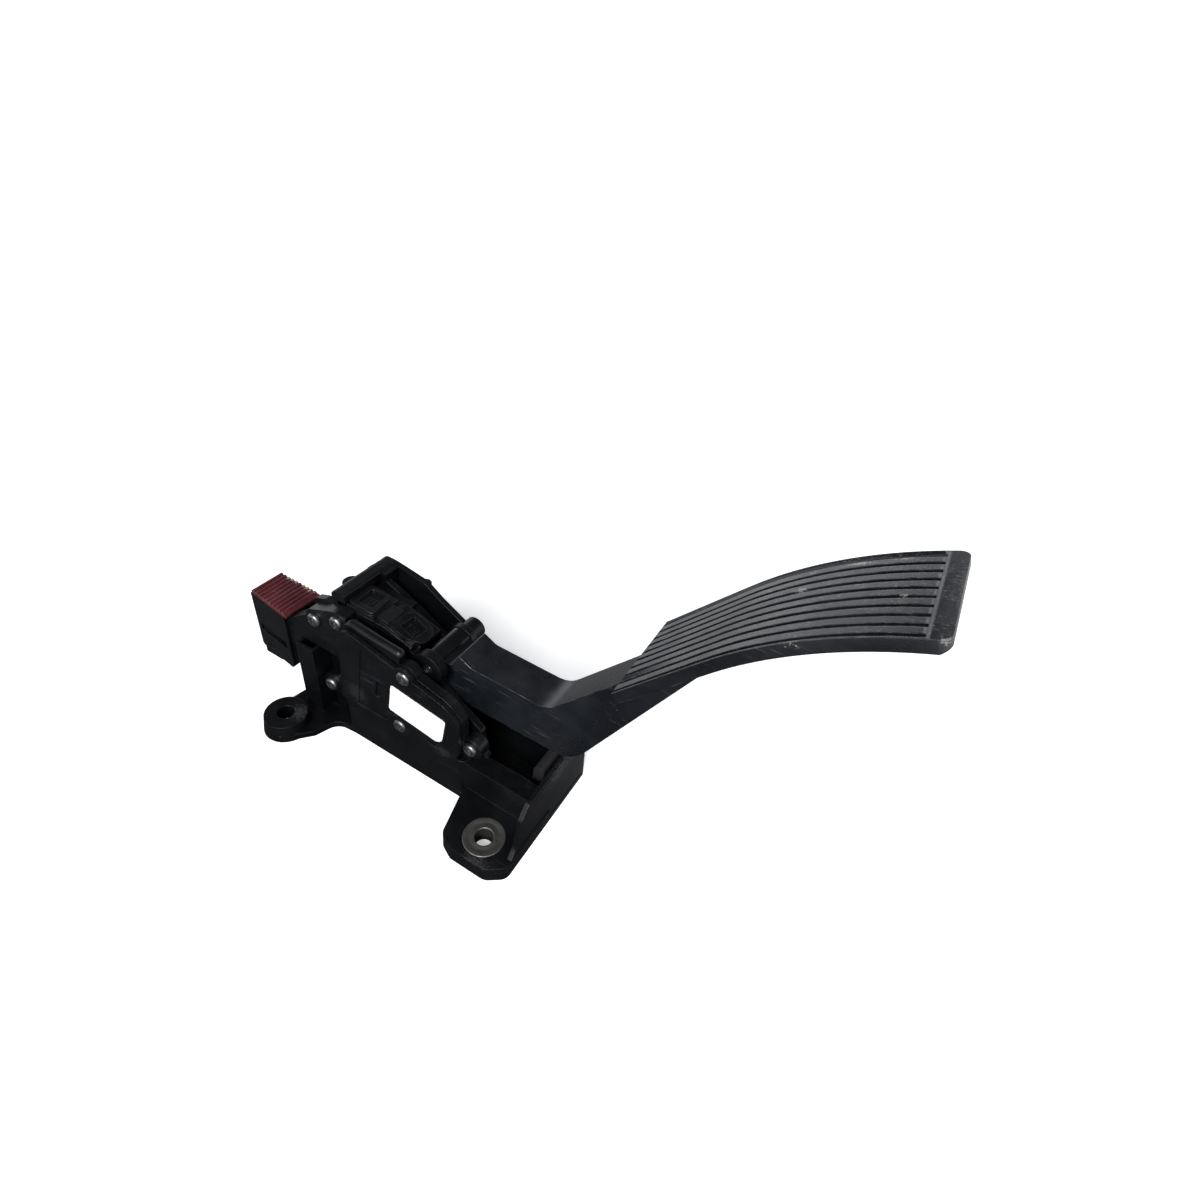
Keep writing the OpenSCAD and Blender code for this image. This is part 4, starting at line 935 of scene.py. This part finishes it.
class PEDAL_OT_arm(bpy.types.Operator):
    """Finishes the one-piece arm and grooved pad with their wear, painted highlight on their edges
    and a little painted shade in narrow places
    """
    bl_idname = "pedal.arm"
    bl_label = "Arm and pad"

    def execute(self, context):
        look = context.scene.pedal_plastic
        # Pale groove rims are partly painted highlight; the grooves carry a little painted shade
        arm = moulded_plastic(
            "arm_plastic", tuple(look.arm_colour), look.roughness - 0.07, grain=look.grain,
            grain_depth=0.00006, edge=look.edge_radius, wear_and_highlight_colour=(0.15, 0.152, 0.155), wear_and_highlight=0.7,
            wear_and_highlight_break=0.48, shine=0.85, painted_shade=0.15, painted_shade_reach=0.0025, dust=0.2,
            dust_colour=tuple(look.dust_colour), scratch=0.45, specks=(0.38, 0.035, 0.055),
            scratch_turn=(0.0, math.radians(50.0), 0.25), scuff_colour=(0.36, 0.33, 0.29),
            scuffs=PAD_SCUFFS, darker_round_pin=(pin_centre(), 0.0092, 0.0130))
        eased_pad("arm_and_pad", arm, context.scene.pedal_pad)
        return {"FINISHED"}


class PEDAL_OT_screws(bpy.types.Operator):
    """Turns the zinc plated pan-head screws of the cover and of the housing"""
    bl_idname = "pedal.screws"
    bl_label = "Screws"

    def execute(self, context):
        size = context.scene.pedal_screws
        zinc = worked_metal("zinc_plate", tuple(context.scene.pedal_metal.zinc_colour), 0.36,
                            tarnish=0.45, edge=0.0001)
        for name, node in (("cover_screw_set", "cover_screws"),
                           ("housing_screw_set", "housing_screws")):
            form = bmesh.new()
            for box in islands(node):
                screw_form(form, box, size)
            bmesh.ops.recalc_face_normals(form, faces=form.faces)
            new_piece(name, form, zinc, "base", node, smooth=40.0)
        return {"FINISHED"}


class PEDAL_OT_bush(bpy.types.Operator):
    """Turns the steel bush of the front ear"""
    bl_idname = "pedal.bush"
    bl_label = "Front bush"

    def execute(self, context):
        size = context.scene.pedal_bush
        low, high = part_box("front_bush")
        outer = (high.x - low.x) / 2.0
        top = high.z
        seat = top - size.flange_height
        bore = size.bore
        ease, chamfer, dip = 0.0002, 0.0003, 0.00003
        ramp, inner, outside = 0.0004, bore + 0.0017, bore + 0.0034
        profile = [
            (bore, low.z + ease), (bore + ease, low.z), (bore + size.wall - ease, low.z),
            (bore + size.wall, low.z + ease), (bore + size.wall, seat), (outer - ease, seat),
            (outer, seat + ease), (outer, top - 1.5 * ease), (outer - 1.5 * ease, top),
            (outside + ramp, top), (outside, top - size.groove), (inner, top - size.groove),
            (inner - ramp, top - dip), (bore + chamfer, top - dip), (bore, top - chamfer),
            (bore, low.z + ease)]
        form = bmesh.new()
        spin_profile(form, profile, "Z", size.steps)
        bmesh.ops.recalc_face_normals(form, faces=form.faces)
        steel = worked_metal("turned_steel", tuple(context.scene.pedal_metal.bush_colour), 0.52,
                             axis=((0.0, 0.0, 0.0), ACROSS_Z), tarnish=0.6)
        new_piece("turned_bush", form, steel, "base", "front_bush", smooth=30.0)
        return {"FINISHED"}


class PEDAL_OT_electronics(bpy.types.Operator):
    """Finishes the board, coil, chips and the moving target"""
    bl_idname = "pedal.electronics"
    bl_label = "Electronics"

    def execute(self, context):
        dress("circuit_board", self.board())
        dress("sensing_coil", worked_metal("copper_track", (0.72, 0.36, 0.18), 0.35))
        dress("board_chips", moulded_plastic("chip_epoxy", (0.012, 0.012, 0.013), 0.55,
                                             grain=0.0002, edge=0.0001, dust=0.05))
        dress("target_plate", worked_metal("target_sheet", (0.68, 0.68, 0.68), 0.3,
                                           brush=(60.0, 60.0, 2400.0)))
        dress("target_carrier", moulded_plastic("carrier_plastic", (0.02, 0.02, 0.022), 0.5,
                                                dust=0.05))
        return {"FINISHED"}

    def board(self):
        """Makes the green lacquer with tracks under it."""
        material, tree = new_material("board_lacquer")
        place = place_of(tree)
        tracks = add_node(tree, "ShaderNodeTexBrick",
                          {"Vector": place, "Scale": 260.0, "Mortar Size": 0.03,
                           "Color1": (0.012, 0.095, 0.045, 1.0),
                           "Color2": (0.015, 0.115, 0.055, 1.0),
                           "Mortar": (0.03, 0.18, 0.09, 1.0)})
        cloud = noise(tree, place, 400.0, 4.0)
        finish_surface(tree, {
            "Base Color": blend_colour(tree, remap(tree, cloud, 0.4, 0.8),
                                       tracks.outputs["Color"], (0.02, 0.13, 0.07)),
            "Roughness": remap(tree, cloud, 0.3, 0.7, 0.22, 0.38)})
        return material


class PEDAL_OT_mechanism(bpy.types.Operator):
    """Finishes the pin, bushes, springs, friction parts and bumpers"""
    bl_idname = "pedal.mechanism"
    bl_label = "Pin, springs and bumpers"

    def execute(self, context):
        metal = context.scene.pedal_metal
        pin = (pin_centre(), ACROSS_Y)
        dress("pivot_pin", worked_metal("ground_pin", tuple(metal.pin_colour), 0.28, axis=pin))
        dress("hub_bushes", worked_metal("sintered_bronze", (0.42, 0.27, 0.12), 0.48, axis=pin))
        wire = worked_metal("spring_wire", tuple(metal.spring_colour), 0.34,
                            brush=(700.0, 700.0, 3000.0), tarnish=0.4)
        for name, node in (("outer_spring", "return_spring_outer"),
                           ("inner_spring", "return_spring_inner")):
            pressed_spring(name, node, wire)
        dress("spring_cup", moulded_plastic("cup_acetal", (0.46, 0.42, 0.31), 0.42, dust=0.1,
                                            wear_and_highlight_colour=(0.6, 0.57, 0.48)))
        dress("friction_shoe", moulded_plastic("shoe_acetal", (0.40, 0.36, 0.25), 0.4, dust=0.1,
                                               wear_and_highlight_colour=(0.55, 0.52, 0.42)))
        dress("friction_liner", moulded_plastic("liner_plastic", (0.06, 0.058, 0.055), 0.38,
                                                scratch=0.6))
        dress("stop_bumper", moulded_plastic("stop_rubber", (0.007, 0.007, 0.008), 0.66,
                                             grain=0.0005, dust=0.25, wear_and_highlight=0.3, shine=0.3))
        dress("rest_bumper", moulded_plastic("rest_rubber", (0.009, 0.009, 0.009), 0.75,
                                             grain=0.0005, dust=0.3, wear_and_highlight=0.2))
        return {"FINISHED"}


class PEDAL_PT_sidebar(bpy.types.Panel):
    """Lists the steps that dress the pedal"""
    bl_idname = "PEDAL_PT_sidebar"
    bl_label = "Accelerator pedal"
    bl_space_type = "VIEW_3D"
    bl_region_type = "UI"
    bl_category = "Pedal"

    def draw(self, context):
        for step in STEPS:
            self.layout.operator(step.bl_idname)


STEPS = (PEDAL_OT_camera, PEDAL_OT_stage, PEDAL_OT_bracket, PEDAL_OT_sensor, PEDAL_OT_socket,
         PEDAL_OT_arm, PEDAL_OT_screws, PEDAL_OT_bush, PEDAL_OT_electronics,
         PEDAL_OT_mechanism)
POINTERS = {"pedal_plastic": PlasticFinish, "pedal_metal": MetalFinish,
            "pedal_screws": ScrewSize, "pedal_bush": BushSize, "pedal_pad": PadSize,
            "pedal_studio": StudioSetup}


def register():
    for kind in (*GROUPS, *STEPS, PEDAL_PT_sidebar):
        bpy.utils.register_class(kind)
    for name, kind in POINTERS.items():
        setattr(bpy.types.Scene, name, PointerProperty(type=kind))


def unregister():
    for name in POINTERS:
        delattr(bpy.types.Scene, name)
    for kind in reversed((*GROUPS, *STEPS, PEDAL_PT_sidebar)):
        bpy.utils.unregister_class(kind)


def main():
    register()
    for step in STEPS:
        family, name = step.bl_idname.split(".")
        getattr(getattr(bpy.ops, family), name)()


if __name__ == "__main__":
    main()
